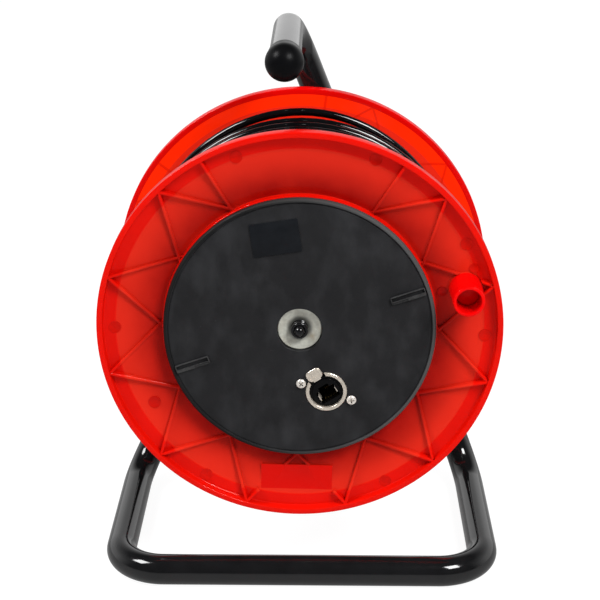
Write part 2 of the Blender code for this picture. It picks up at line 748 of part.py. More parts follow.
def build_front_flange(drum):
    """Red front flange with its cup, ribs, label pad and the stub that the knob turns on."""
    mesh = turned("front_flange", front_section(), FLANGE_SEGMENTS)
    flange = add_object("front_flange", mesh, RED_PLASTIC, drum)
    add_relief(flange, flange_relief("front_relief", DRUM_TURN))
    add_knob_stub(flange)
    floor_back = CUP_FLOOR_DEPTH + CUP_FLOOR
    drill(flange, "front_tie_holes", TIE_R + GAP, CUP_FLOOR_DEPTH - WEB, floor_back + WEB,
          around(TIE_CIRCLE_R, TIE_COUNT, TIE_TURN))
    drill(flange, "clamp_pilots", CLAMP_SCREW_R + GAP, CUP_FLOOR_DEPTH - WEB, floor_back + WEB,
          clamp_holes())
    hole = radial_rod("front_lead_hole", LEAD_HOLE_R, CUP_R - CUT, CUP_R + WEB)
    combine(flange, "DIFFERENCE", "front_lead_hole", hole)


def build_rear_flange(drum):
    """Red rear flange, its ribs on the outside and its hub closed."""
    mesh = face_back(turned("rear_flange", rear_section(), FLANGE_SEGMENTS))
    flange = add_object("rear_flange", mesh, RED_PLASTIC, drum)
    add_relief(flange, face_back(flange_relief("rear_relief", REAR_TURN)))
    drill(flange, "rear_tie_holes", TIE_R + GAP, DRUM_WIDTH - HUB_BACK - WEB,
          DRUM_WIDTH - REAR_FLOOR_DEPTH + WEB, around(TIE_CIRCLE_R, TIE_COUNT, TIE_TURN))


def build_barrel(drum):
    """Barrel that the cable is wound on, held between the two flanges."""
    profile = ring_profile(CUP_R + GAP, BARREL_R, HUB_BACK + GAP, DRUM_WIDTH - HUB_BACK - GAP)
    barrel = add_object("drum_barrel", turned("drum_barrel", profile, 40),
                        RED_PLASTIC, drum)
    hole = radial_rod("barrel_lead_hole", LEAD_HOLE_R, CUP_R - WEB, BARREL_R + WEB)
    combine(barrel, "DIFFERENCE", "barrel_lead_hole", hole)


def cross_outline(size, width):
    """Outline of a screwdriver's cross."""
    a, b = size / 2, width / 2
    return [(a, b), (b, b), (b, a), (-b, a), (-b, b), (-a, b), (-a, -b), (-b, -b), (-b, -a), (b, -a),
            (b, -b), (a, -b)]


def screw_profile(head_r, head_height, shank_r, length):
    """Section of a pan-head screw; its head stands forward of depth 0 and its shank runs back."""
    return [(0.0, -head_height), (head_r * 0.6, -head_height), (head_r * 0.92, -head_height * 0.6),
            (head_r, 0.0), (shank_r, 0.0), (shank_r, length), (0.0, length)]


def build_screws(name, parent, places, seat_depth, sizes, facing=1.0):
    """A cross-head screw at each (x, z) place, seated at a depth; facing -1 puts its head behind."""
    head_r, head_height = sizes[:2]
    for number, (x, z) in enumerate(places, 1):
        place = Matrix.Translation((x, seat_depth, z)) @ Matrix.Scale(facing, 4, (0.0, 1.0, 0.0))
        screw_mesh = turned(name, screw_profile(*sizes), 8)
        screw = add_object(f"{name}_{number}", copies(name, screw_mesh, [place]), STEEL, parent)
        cross = prism(name + "_cross", cross_outline(head_r * 1.1, head_r * 0.26),
                      -head_height - 0.001, -head_height * 0.45)
        combine(screw, "DIFFERENCE", name + "_cross", copies(name + "_cross", cross, [place]))


def build_tie_screws(drum):
    """Long screws that clamp the flanges on the barrel from behind, and their nuts in the cup."""
    places = around(TIE_CIRCLE_R, TIE_COUNT, TIE_TURN)
    seat = DRUM_WIDTH - REAR_FLOOR_DEPTH + GAP
    tip = CUP_FLOOR_DEPTH - TIE_NUT_HEIGHT - 2 * GAP
    build_screws("tie_screw", drum, places, seat, (*TIE_HEAD, TIE_R, seat - tip), -1.0)
    hexagon = around(TIE_NUT_R, 6)
    for number, (x, z) in enumerate(places, 1):
        outline = [(x + across, z + up) for across, up in hexagon]
        nut = prism("tie_nut", outline, CUP_FLOOR_DEPTH - TIE_NUT_HEIGHT, CUP_FLOOR_DEPTH - GAP)
        nut = add_object(f"tie_nut_{number}", nut, ZINC, drum)
        drill(nut, "tie_nut_bore", TIE_R + GAP, CUP_FLOOR_DEPTH - CUT, CUP_FLOOR_DEPTH, [(x, z)])


# Hub cover and its socket

def cover_section():
    """Section of the hub cover: a disc with a raised edge and a skirt into the flange's lip."""
    back = COVER_DEPTH + COVER_WALL
    edge = COVER_DEPTH - COVER_EDGE_RISE
    skirt = COVER_R - COVER_SKIRT_INSET
    skirt_inner = skirt - COVER_SKIRT_WALL
    edge_inner = COVER_R - COVER_EDGE_WIDTH
    return [(COVER_BORE_R, COVER_DEPTH), (edge_inner - GAP, COVER_DEPTH), (edge_inner, edge),
            (COVER_R, edge), (COVER_R, back), (skirt, back), (skirt, COVER_SKIRT_END),
            (skirt_inner, COVER_SKIRT_END), (skirt_inner, back), (COVER_BORE_R, back)]


def build_hub_cover(drum):
    """Black cover over the hub, with two finger grips and the socket's openings."""
    mesh = turned("hub_cover", cover_section(), FLANGE_SEGMENTS)
    cover = add_object("hub_cover", mesh, BLACK_PLASTIC, drum)
    for name, angle in (("right_grip", GRIP_TURN), ("left_grip", GRIP_TURN + math.pi)):
        outline = rectangle(*GRIP_SIZE, *polar(GRIP_R, angle), angle)
        combine(cover, "UNION", name, prism(name, outline, COVER_DEPTH - GRIP_RISE, COVER_DEPTH + GAP))
    place = shifts([SOCKET_AT])[0] @ Matrix.Rotation(-SOCKET_TURN, 4, "Y")
    ring_hole = turned("ring_hole", rod_profile(SOCKET_RING_R + GAP, -CUT, CUT), 24)
    ring_hole.transform(place)
    combine(cover, "DIFFERENCE", "ring_hole", ring_hole)
    hole = turned("cover_screw_hole", rod_profile(SOCKET_SCREW_R + GAP, -CUT, CUT), 12)
    holes = copies("cover_screw_holes", hole, shifts(socket_holes()))
    holes.transform(place)
    combine(cover, "DIFFERENCE", "cover_screw_holes", holes)


def build_label(drum):
    """Blank label stuck on the hub cover."""
    label = prism("blank_label", rectangle(*LABEL_SIZE, *LABEL_AT, LABEL_TILT),
                  COVER_DEPTH - GAP - LABEL_WALL, COVER_DEPTH - GAP)
    add_object("blank_label", label, BLACK_GLOSS, drum)


def socket_holes():
    """(x, z) of the socket's two fixing screws, in its own frame."""
    x, z = SOCKET_HOLES
    return [(-x, z), (x, -z)]


def build_socket_housing(socket):
    """Nickel-plated housing: a ring in the cover's hole and a flange plate behind it."""
    plate_front = COVER_DEPTH + COVER_WALL + GAP
    plate_back = plate_front + SOCKET_PLATE_WALL
    back_r = SOCKET_RING_R - SOCKET_BACK_INSET
    profile = [(0.0, SOCKET_FRONT), (SOCKET_RING_R - SOCKET_BEVEL, SOCKET_FRONT),
               (SOCKET_RING_R, SOCKET_FRONT + SOCKET_BEVEL), (SOCKET_RING_R, plate_back),
               (back_r, plate_back), (back_r, SOCKET_BACK_DEPTH), (0.0, SOCKET_BACK_DEPTH)]
    housing = add_object("socket_housing", turned("socket_housing", profile, 24), NICKEL, socket)
    plate = prism("socket_plate", rectangle(*SOCKET_PLATE), plate_front, plate_back)
    combine(housing, "UNION", "socket_plate", plate)
    bore = turned("socket_bore", rod_profile(SOCKET_RING_BORE_R, -CUT, SOCKET_BACK_DEPTH + CUT), 24)
    combine(housing, "DIFFERENCE", "socket_bore", bore)
    opening = rectangle(LATCH_SIZE[0] + 3 * GAP, LATCH_SLOT_HEIGHT, 0.0, LATCH_SLOT_AT)
    slot = prism("latch_slot", opening, -CUT, LATCH_SLOT_END)
    combine(housing, "DIFFERENCE", "latch_slot", slot)
    drill(housing, "plate_holes", SOCKET_SCREW_R + GAP, 0.0, plate_back + GAP, socket_holes())


def build_socket_insert(socket):
    """Black insert with the jack's opening, its gold contacts and its two shield springs."""
    insert = add_object("socket_insert", turned("socket_insert", rod_profile(
        SOCKET_RING_BORE_R - GAP, INSERT_FRONT, INSERT_BACK), 24), BLACK_GLOSS, socket)
    width, height = JACK_OPENING
    outline = rectangle(width, height, 0.0, -JACK_OPENING_DROP)
    combine(insert, "DIFFERENCE", "jack_opening", prism("jack_opening", outline, -CUT, JACK_BACK_DEPTH))
    top = height / 2 - JACK_OPENING_DROP
    notch = prism("jack_notch", rectangle(*NOTCH_SIZE, 0.0, top), -CUT, NOTCH_END)
    combine(insert, "DIFFERENCE", "jack_notch", notch)


def build_contacts(name, parent, contact, matrices, bar):
    """Eight gold contacts side by side, held as one comb by the bar that they are moulded into."""
    comb = add_object(name, copies(name, contact, matrices), GOLD, parent)
    combine(comb, "UNION", name + "_bar", bar)


def build_socket_metal(socket):
    """Gold contact wires on the opening's floor and the shield springs at its sides."""
    width, height = JACK_OPENING
    root = GAP + CONTACT_WIRE[1] / 2 - JACK_OPENING_DROP - height / 2
    slope = Matrix.Translation((0.0, CONTACT_FRONT, root)) @ Matrix.Rotation(CONTACT_SLOPE, 4, "X")
    wire = prism("contact", rectangle(*CONTACT_WIRE), 0.0, CONTACT_LENGTH)
    wire.transform(slope)
    bar_height, bar_start, bar_end = CONTACT_BAR
    bar = prism("contact_bar", rectangle(8 * CONTACT_PITCH, bar_height), bar_start, bar_end)
    bar.transform(slope)
    places = [(CONTACT_PITCH * (k - 3.5), 0.0) for k in range(8)]
    build_contacts("socket_contacts", socket, wire, shifts(places), bar)
    for name, side in (("left_shield_spring", -1), ("right_shield_spring", 1)):
        middle = side * (width / 2 - GAP - SHIELD_SPRING[0] / 2)
        outline = rectangle(*SHIELD_SPRING, middle, -JACK_OPENING_DROP)
        add_object(name, prism(name, outline, *SHIELD_SPRING_ENDS), NICKEL, socket)


def build_socket_terminals(socket):
    """Terminal block on the back of the socket, where the inner lead ends."""
    front, back = INSERT_BACK + GAP, LEAD_START_DEPTH - GAP
    profile = [(0.0, front), (TERMINAL_R, front), (TERMINAL_R, TERMINAL_STEP),
               (TERMINAL_NECK_R, TERMINAL_STEP), (TERMINAL_NECK_R, back), (0.0, back)]
    add_object("socket_terminals", turned("socket_terminals", profile, 16), BLACK_PLASTIC, socket)


def build_latch(socket):
    """Sprung release tab above the socket's ring, its stem in the ring's slot, and its spring."""
    width, height = LATCH_SIZE
    corner = LATCH_CORNER
    half, top = width / 2, height / 2
    outline = [(-half, corner - top), (corner - half, -top), (half - corner, -top), (half, corner - top),
               (half, top - corner), (half - corner, top), (corner - half, top), (-half, top - corner)]
    latch = axis_empty("latch_axis", (0.0, 0.0, LATCH_AT), socket)
    tab_mesh = prism("latch_tab", outline, LATCH_FRONT, LATCH_FRONT + LATCH_WALL)
    tab = add_object("latch_tab", tab_mesh, NICKEL, latch)
    stem = prism("latch_stem", rectangle(*STEM_SIZE, 0.0, STEM_AT - LATCH_AT), 0.0, STEM_END)
    combine(tab, "UNION", "latch_stem", stem)
    span, rise, wall = LATCH_SPRING_SIZE
    bow = [(-span / 2, rise), (0.0, 0.0), (span / 2, rise), (span / 2, rise + wall), (0.0, wall),
           (-span / 2, rise + wall)]
    spring = prism("latch_spring", bow, -STEM_SIZE[1] / 2 + GAP / 2, STEM_SIZE[1] / 2 - GAP / 2)
    spring.transform(Matrix.Rotation(math.radians(-90), 4, "X"))
    spring.transform(Matrix.Translation((0.0, STEM_END + GAP, STEM_AT)))
    add_object("latch_spring", spring, STEEL, socket)


# Lead inside the hub

def clamp_holes():
    """(x, z) of the two screws of the lead's clamp."""
    x, z = CLAMP_AT
    across = CLAMP_TURN + math.pi / 2
    reach_x, reach_z = polar(CLAMP_HOLE_REACH, across)
    return [(x - reach_x, z - reach_z), (x + reach_x, z + reach_z)]


def lead_route():
    """Points of the lead from the socket's terminals, through its clamp, to the barrel's hole."""
    run = CUP_FLOOR_DEPTH - CABLE_R - LEAD_CLEARANCE
    x, z = SOCKET_AT
    leaves = [(x, LEAD_START_DEPTH + reach, z) for reach in (0.0, 0.0026, 0.0052)]
    floor = [(0.0125, 0.0455, -0.0382), (0.0060, 0.0484, -0.0393), (-0.0020, run, -0.0397),
             (-0.0100, run, -0.0375), (-0.0180, run, -0.0325), (CLAMP_AT[0], run, CLAMP_AT[1]),
             (-0.0320, run, -0.0175)]
    climb = [(-0.0395, 0.0455, -0.0090), (-0.0455, 0.0355, 0.0020), (-0.0500, 0.0245, 0.0105)]
    ends = []
    for radius in (0.0610, 0.0685, BARREL_R):
        across, up = polar(radius, LEAD_HOLE_TURN)
        ends.append((across, LEAD_HOLE_DEPTH, up))
    return [np.array(point) for point in (*leaves, *floor, *climb, *ends)]


def build_lead(drum):
    """Lead from the socket to the winding."""
    points = smooth_route(lead_route(), 3 * CABLE_R)
    add_object("inner_lead", cable_curve("inner_lead", points, 2), CABLE_SHEATH, drum)


def build_lead_clamp(drum):
    """Clamp that holds the lead to the cup's floor, and its two screws."""
    run = CUP_FLOOR_DEPTH - CABLE_R - LEAD_CLEARANCE
    top = run - CABLE_R - CLAMP_ROOF
    bar = rectangle(*CLAMP_SIZE, *CLAMP_AT, CLAMP_TURN)
    clamp = add_object("lead_clamp", prism("lead_clamp", bar, top, CUP_FLOOR_DEPTH - GAP),
                       BLACK_PLASTIC, drum)
    slot = rectangle(2 * CLAMP_SIZE[0], 2 * (CABLE_R + GAP), *CLAMP_AT, CLAMP_TURN)
    combine(clamp, "DIFFERENCE", "clamp_slot",
            prism("clamp_slot", slot, run - CABLE_R - GAP, CUP_FLOOR_DEPTH + CUT))
    drill(clamp, "clamp_holes", CLAMP_SCREW_R + GAP, top - CUT, CUP_FLOOR_DEPTH, clamp_holes())
    build_screws("clamp_screw", drum, clamp_holes(), top - GAP,
                 (*CLAMP_SCREW_HEAD, CLAMP_SCREW_R, CUP_FLOOR_DEPTH - top + CLAMP_SCREW_BITE))


# Knob

def build_knob(drum):
    """Open red knob that turns on the flange's stub, and the pin that keeps it there."""
    x, z = polar(*KNOB_AT)
    knob = axis_empty("knob_axis", (x, 0.0, z), drum)
    seat = KNOB_STUB_R + GAP
    stub_top = KNOB_BASE_DEPTH - KNOB_STUB_HEIGHT - GAP
    floor = KNOB_FLOOR_DEPTH
    mouth = KNOB_MOUTH_DEPTH
    profile = [(KNOB_BORE_R, mouth + KNOB_LIP / 2), (KNOB_BORE_R + KNOB_LIP / 2, mouth),
               (KNOB_R - KNOB_LIP, mouth), (KNOB_R, mouth + KNOB_LIP),
               (KNOB_R + KNOB_FLARE, KNOB_BASE_DEPTH), (seat, KNOB_BASE_DEPTH), (seat, stub_top),
               (KNOB_PIN_R + GAP, stub_top), (KNOB_PIN_R + GAP, floor), (KNOB_BORE_R - KNOB_LIP, floor),
               (KNOB_BORE_R, floor - KNOB_LIP)]
    add_object("winding_knob", turned("winding_knob", profile, 20), RED_PLASTIC, knob)
    pin = [(0.0, floor - PIN_HEAD), (PIN_HEAD_R - GAP, floor - PIN_HEAD),
           (PIN_HEAD_R, floor - PIN_HEAD + GAP), (PIN_HEAD_R, floor - GAP), (KNOB_PIN_R, floor - GAP),
           (KNOB_PIN_R, PIN_END), (0.0, PIN_END)]
    pin_mesh = turned("knob_pin", pin, 12)
    pin_mesh.transform(shifts([(x, z)])[0])
    add_object("knob_pin", pin_mesh, RED_PLASTIC, drum)


# Cable on the drum

def smooth(value):
    """Ease from 0 to 1."""
    value = min(max(value, 0.0), 1.0)
    return value * value * (3.0 - 2.0 * value)


def cable_point(angle, radius, depth):
    """Point of the cable at a radius and angle round the axle."""
    x, z = polar(radius, angle)
    return np.array((x, depth, z))


def outer_layer():
    """Outer layer of the winding: side by side turns, out to the rear flange."""
    steps = round(CABLE_LAYER_TURNS * LOOP_POINTS)
    first = -math.pi - CABLE_LAYER_TURNS * math.tau
    for step in range(steps):
        share = step / steps
        angle = first + step * math.tau / LOOP_POINTS
        depth = CABLE_FIRST_DEPTH + (CABLE_LAST_DEPTH - CABLE_FIRST_DEPTH) * share
        hump = sum(smooth(1 - abs(depth - top) / CABLE_HUMP_REACH) for top in CABLE_HUMPS)
        radius = CABLE_LAYER_R + CABLE_HUMP_RISE * hump * max(0.0, math.sin(angle))
        yield cable_point(angle, radius, depth)


def last_half_turn():
    """Half turn under the drum that moves out beside the layer, towards the rear flange."""
    for step in range(LOOP_POINTS // 2):
        share = step / (LOOP_POINTS // 2)
        depth = CABLE_LAST_DEPTH + (CABLE_LOOSE_DEPTH - CABLE_LAST_DEPTH) * smooth(share)
        yield cable_point(-math.pi + share * math.pi, CABLE_LAYER_R, depth)


def loose_radius(angle):
    """Radius of the loose turn, which stands off the layer over the top of the drum."""
    rise = CABLE_LOOSE_RISE * smooth((angle - RISE_FROM) / RISE_SPAN)
    return CABLE_LAYER_R + rise - CABLE_LOOSE_FALL * smooth((angle - FALL_FROM) / FALL_SPAN)


def loose_turn():
    """Loose run over the top of the drum, then the straight end that enters the plug's boot."""
    for angle in np.arange(0.0, TAIL_LEAVES, math.tau / LOOP_POINTS):
        yield cable_point(angle, loose_radius(angle), CABLE_LOOSE_DEPTH)
    straight = math.atan((BOOT_LENGTH + 3 * CABLE_R) / PLUG_AXIS_R)
    meets = PLUG_TURN - straight
    start_r = loose_radius(TAIL_LEAVES)
    end_r = PLUG_AXIS_R / math.cos(straight)
    slope = -end_r * math.tan(straight)
    for share in np.linspace(0.0, 1.0, 7):
        blend = smooth(share)
        pull = (share ** 3 - share ** 2) * slope * (meets - TAIL_LEAVES)
        radius = start_r + (end_r - start_r) * blend + pull
        yield cable_point(TAIL_LEAVES + (meets - TAIL_LEAVES) * share, radius, CABLE_LOOSE_DEPTH)
    reach = math.atan((BOOT_LENGTH + GAP) / PLUG_AXIS_R)
    yield cable_point(PLUG_TURN - reach, PLUG_AXIS_R / math.cos(reach), CABLE_LOOSE_DEPTH)


def least_gap(points):
    """Smallest distance between the cable's surface and itself, away from its own next stretch."""
    along = np.concatenate([[0.0], np.cumsum(np.linalg.norm(np.diff(points, axis=0), axis=1))])
    places = np.arange(0.0, along[-1], CABLE_R)
    fine = np.column_stack([np.interp(places, along, points[:, axis]) for axis in range(3)])
    nearest = [np.linalg.norm(fine[offset:] - fine[:-offset], axis=1).min()
               for offset in range(8, len(fine))]
    return min(nearest) - 2 * CABLE_R


def climbing_ramp(points):
    """Wedge on the inner layers, where their cable climbs to meet the start of the outer layer."""
    low = [(-0.0300, -0.0108), (-GAP, -0.0056)]
    high = [(-GAP, CABLE_R), (-0.0300, -0.0095)]
    wedge = prism("climbing_ramp", low + high, GAP - CABLE_R, CABLE_R - GAP)
    start, following = Vector(points[0]), Vector(points[1])
    along = (following - start).normalized()
    outward = Vector((0.0, 1.0, 0.0)).cross(along).normalized()
    frame = Matrix((along, outward.cross(along), outward)).transposed().to_4x4()
    wedge.transform(Matrix.Translation(start) @ frame)
    return wedge


def build_cable_core(drum, points):
    """Inner layers of the cable as a plain ring on the barrel."""
    inner = HUB_BACK + 2 * GAP
    outer = inner - 0.0018
    profile = [(BARREL_R + GAP, inner), (CABLE_CORE_R, outer), (CABLE_CORE_R, DRUM_WIDTH - outer),
               (BARREL_R + GAP, DRUM_WIDTH - inner)]
    core = add_object("cable_core", turned("cable_core", profile, 40), CABLE_SHEATH, drum)
    combine(core, "UNION", "climbing_ramp", climbing_ramp(points))


def build_cable(drum):
    """Inner layers of the cable, and its outer layer with the loose turn as one tube."""
    points = np.array([*outer_layer(), *last_half_turn(), *loose_turn()])
    build_cable_core(drum, points)
    add_object("cable_layer", cable_curve("cable_layer", points, 1), CABLE_SHEATH, drum)
    length = np.linalg.norm(np.diff(points, axis=0), axis=1).sum()
    print(f"outer layer: least gap to itself {1000 * least_gap(points):.2f} mm, length {length:.2f} m")


def build_boot(plug):
    """Ribbed boot where the cable enters the plug."""
    profile = [(0.0, -BOOT_LENGTH), (0.0030, -BOOT_LENGTH)]
    for k in range(3):
        low = -BOOT_LENGTH + 0.004 + k * 0.004
        radius = 0.0032 + 0.0004 * k
        profile += [(radius, low), (radius, low + 0.0014), (radius + 0.0006, low + 0.0016),
                    (radius + 0.0006, low + 0.0038)]
    profile += [(0.0050, -0.0050), (0.0050, -GAP), (0.0, -GAP)]
    boot = turned("plug_boot", profile, 12)
    boot.transform(Matrix.Rotation(math.radians(90), 4, "X"))
    add_object("plug_boot", boot, BLACK_PLASTIC, plug)


def build_plug_body(plug):
    """Clear body of the plug with its recess for eight gold contact blades."""
    width, thickness, length = PLUG_SIZE
    half = thickness / 2
    outline = [(-half, 0.0), (half, 0.0), (half, length), (-half, length)]
    body = add_object("plug_body", prism("plug_body", outline, -width / 2, width / 2), CLEAR_PLASTIC,
                      plug)
    low, deep = length - 0.0065, -0.0022
    recess = [(-thickness, low), (deep, low), (deep, length + 0.01), (-thickness, length + 0.01)]
    combine(body, "DIFFERENCE", "contact_recess", prism("contact_recess", recess, -0.0047, 0.0047))
    place = (deep - GAP - 0.00065, length - 0.0033)
    blade = prism("blade", rectangle(0.0013, 0.0056, *place), -0.0002, 0.0002)
    bar = prism("blade_bar", rectangle(0.0005, 0.0016, *place), -4 * CONTACT_PITCH, 4 * CONTACT_PITCH)
    matrices = [Matrix.Translation((0.0, CONTACT_PITCH * (k - 3.5), 0.0)) for k in range(8)]
    build_contacts("plug_contacts", plug, blade, matrices, bar)


def build_plug(drum):
    """Plug on the cable's end, with the sprung lever that latches it in a socket."""
    x, z = polar(PLUG_AXIS_R, PLUG_TURN)
    plug = axis_empty("plug_axis", (x, CABLE_LOOSE_DEPTH, z), drum, -PLUG_TURN)
    build_boot(plug)
    build_plug_body(plug)
    root = PLUG_SIZE[1] / 2 + GAP + 0.0005
    hinge = axis_empty("plug_latch_axis", (root, 0.0, PLUG_SIZE[2] - 0.0015), plug)
    outline = [(-0.0005, 0.0006), (-0.0005, -0.0010), (0.0024, -0.0160), (0.0034, -0.0160),
               (0.0006, -0.0010), (0.0006, 0.0006)]
    add_object("plug_latch", prism("plug_latch", outline, -0.0031, 0.0031), CLEAR_PLASTIC, hinge)


def build_axle_group(reel):
    """The axle and everything that holds it and the drum on the stand."""
    build_axle_plate(reel)
    build_axle(reel)
    build_axle_washer(reel)
    build_axle_retainer(reel)
    build_axle_nut(reel)
    build_axle_spacer(reel)


def build_socket(drum):
    """The socket in the hub cover, with its screws, latch and terminals."""
    socket = axis_empty("socket_axis", (SOCKET_AT[0], 0.0, SOCKET_AT[1]), drum, -SOCKET_TURN)
    build_socket_housing(socket)
    build_socket_insert(socket)
    build_socket_metal(socket)
    build_socket_terminals(socket)
    build_screws("socket_screw", socket, socket_holes(), COVER_DEPTH - GAP,
                 (*SOCKET_SCREW_HEAD, SOCKET_SCREW_R, SOCKET_SCREW_LENGTH))
    build_latch(socket)


def build():
    """Build the whole reel."""
    clear_scene()
    reel = axis_empty("reel_axis", (AXLE_X, FRONT_RIM_Y, AXLE_Z))
    drum = axis_empty("drum_axis", (0.0, 0.0, 0.0), reel)
    build_stand()
    build_handle_cap()
    build_axle_group(reel)
    build_bushes(drum)
    build_front_flange(drum)
    build_rear_flange(drum)
    build_barrel(drum)
    build_tie_screws(drum)
    build_hub_cover(drum)
    build_label(drum)
    build_socket(drum)
    build_lead(drum)
    build_lead_clamp(drum)
    build_knob(drum)
    build_cable(drum)
    build_plug(drum)


build()
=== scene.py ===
"""Looks of the network cable reel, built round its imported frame.

Lengths are in metres. The pieces of the drum are drawn about its axle: x and z from the axle, y (called
depth) back from the front rim. REEL moves them to their place in the frame.
"""

from __future__ import annotations

import functools
import logging
import math
from collections.abc import Iterable, Sequence
from dataclasses import dataclass, field
from enum import Enum

import bmesh
import bpy
import numpy as np
from mathutils import Matrix, Vector


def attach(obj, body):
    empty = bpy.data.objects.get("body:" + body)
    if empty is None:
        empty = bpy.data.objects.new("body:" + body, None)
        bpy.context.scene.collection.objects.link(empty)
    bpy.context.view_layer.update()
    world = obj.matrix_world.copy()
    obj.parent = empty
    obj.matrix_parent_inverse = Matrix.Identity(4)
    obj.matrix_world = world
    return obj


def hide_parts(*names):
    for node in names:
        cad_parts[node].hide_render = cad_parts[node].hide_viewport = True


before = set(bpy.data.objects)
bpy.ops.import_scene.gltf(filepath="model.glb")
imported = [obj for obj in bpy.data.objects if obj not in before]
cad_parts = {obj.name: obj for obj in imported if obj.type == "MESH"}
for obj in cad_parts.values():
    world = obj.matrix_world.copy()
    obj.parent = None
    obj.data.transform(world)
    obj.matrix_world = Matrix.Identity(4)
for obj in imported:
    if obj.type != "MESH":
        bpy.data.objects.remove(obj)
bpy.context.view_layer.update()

LOG = logging.getLogger("cable_reel")
REEL = Matrix.Translation((-0.0009, -0.06425, 0.1582))

# Clearance between neighbouring pieces, and how far a cutter runs past a face
GAP = 0.0003
PAST = 0.01
# Places that several sub-assemblies share: the knob's radius and angle, the tie screws and the jack's wires
KNOB_AT = (0.0965, math.radians(14.6))
TIE_R = 0.050
TIE_ANGLES = tuple(math.radians(45 + 90 * k) for k in range(4))
JACK_WIRES = 8
JACK_PITCH = 0.00102
JACK_SPREAD = tuple(JACK_PITCH * (k - 3.5) for k in range(JACK_WIRES))
# Sizes that the flanges' shape and their finish share: turns, winding edge, ribs' ends and label pad
FRONT_TURN = math.radians(-1.1)
REAR_TURN = math.radians(22.4)
BAND_R = 0.1045
RIB_R = (0.0792, 0.1120)
PAD = (0.042, 0.0860, 0.1015)
# Mirror image along the axle
MIRROR = Matrix.Scale(-1.0, 4, (0.0, 1.0, 0.0))
# Radius, angle in degrees and size of each pin mark on the front flange
FRONT_MARKS = ((0.1057, 109.3, 0.0036), (0.1072, 67.1, 0.0036), (0.1058, 28.5, 0.0036),
               (0.1043, 20.4, 0.0028), (0.0833, 14.9, 0.0028), (0.1052, 180.0, 0.0036),
               (0.1054, -2.1, 0.0036), (0.1072, -120.8, 0.0036), (0.1080, -62.3, 0.0036),
               (0.0961, -151.0, 0.0036))

Colour = tuple[float, float, float]
Profile = Sequence[tuple[float, ...]]
Outline = list[tuple[float, float]]


class Body(Enum):
    """Bodies of the frame that pieces ride on."""

    STAND = "stand"
    DRUM = "drum"
    KNOB = "knob"
    LATCH = "latch"
    LEVER = "plug_lever"


class Join(Enum):
    """Ways to combine one shape with another."""

    CUT = "DIFFERENCE"
    ADD = "UNION"
    SHARE = "INTERSECT"


class Hub(Enum):
    """The two kinds of flange hub."""

    CUP = "deep cup under the cover"
    CLOSED = "closed disc at the rear"


# Shapes

def polar(radius: float, angle: float) -> tuple[float, float]:
    """(x, z) at a radius from the axle, the angle counted from +X towards +Z."""
    return radius * math.cos(angle), radius * math.sin(angle)


def place(x: float, z: float, turn: float = 0.0, depth: float = 0.0) -> Matrix:
    """Matrix that turns a shape about Y and moves it to (x, depth, z)."""
    return Matrix.Translation((x, depth, z)) @ Matrix.Rotation(-turn, 4, "Y")


def ease(value: float) -> float:
    """Ease from 0 to 1."""
    value = min(max(value, 0.0), 1.0)
    return value * value * (3.0 - 2.0 * value)


def shade(mesh: bpy.types.Mesh, sharp: float = 32.0) -> bpy.types.Mesh:
    """Shade a mesh smooth, with edges sharper than an angle in degrees kept crisp.

    Args:
        mesh: The mesh.
        sharp: The angle.

    Returns:
        The same mesh.
    """
    mesh.shade_smooth()
    mesh.set_sharp_from_angle(angle=math.radians(sharp))
    return mesh


def close_up(name: str, shape: bmesh.types.BMesh, sharp: float = 32.0) -> bpy.types.Mesh:
    """Turn a bmesh into a mesh with its doubles merged and its faces outwards.

    Args:
        name: Name of the mesh.
        shape: The bmesh, which is freed.
        sharp: Angle in degrees above which an edge stays crisp.

    Returns:
        The mesh.
    """
    bmesh.ops.remove_doubles(shape, verts=shape.verts, dist=1e-6)
    bmesh.ops.recalc_face_normals(shape, faces=shape.faces)
    mesh = bpy.data.meshes.new(name)
    shape.to_mesh(mesh)
    shape.free()
    return shade(mesh, sharp)


def soften(profile: Profile, fillet: float = 0.0003, steps: int = 3) -> list[tuple[float, float]]:
    """Round the corners of a profile.

    Args:
        profile: (radius, depth) or (radius, depth, fillet) corners. One that starts on the axis is open.
        fillet: Fillet of a corner that names none.
        steps: Points in each rounded corner.

    Returns:
        The (radius, depth) points of the rounded profile.
    """
    closed = profile[0][0] > 0.0
    last = len(profile) - 1
    made: list[tuple[float, float]] = []
    for index, point in enumerate(profile):
        corner = Vector(point[:2])
        if not closed and index in (0, last):
            made.append(corner[:])
            continue
        back = Vector(profile[index - 1][:2]) - corner
        ahead = Vector(profile[(index + 1) % (last + 1)][:2]) - corner
        reach = point[2] if len(point) > 2 else fillet
        start = corner + back.normalized() * min(reach, back.length * 0.45)
        end = corner + ahead.normalized() * min(reach, ahead.length * 0.45)
        for step in range(steps + 1):
            t = step / steps
            made.append((start * (1 - t) ** 2 + corner * 2 * t * (1 - t) + end * t ** 2)[:])
    return made


def lathe(name: str, profile: Profile, segments: int = 96, sharp: float = 32.0) -> bpy.types.Mesh:
    """Mesh of a (radius, depth) profile turned about the Y axis.

    Args:
        name: Name of the mesh.
        profile: Points of the section; it is a closed loop unless it starts on the axis.
        segments: Faces round the axis.
        sharp: Angle in degrees above which an edge stays crisp.

    Returns:
        The closed mesh.
    """
    shape = bmesh.new()
    rings = []
    for radius, depth in profile:
        if radius <= 1e-7:
            rings.append([shape.verts.new((0.0, depth, 0.0))])
            continue
        ring = [polar(radius, math.tau * k / segments) for k in range(segments)]
        rings.append([shape.verts.new((x, depth, z)) for x, z in ring])
    after = rings[1:] + rings[:1] if profile[0][0] > 1e-7 else rings[1:]
    for ring, following in zip(rings, after):
        for k in range(segments):
            corners = [ring[k % len(ring)], ring[(k + 1) % len(ring)],
                       following[(k + 1) % len(following)], following[k % len(following)]]
            corners = list(dict.fromkeys(corners))
            if len(corners) > 2:
                shape.faces.new(corners)
    return close_up(name, shape, sharp)


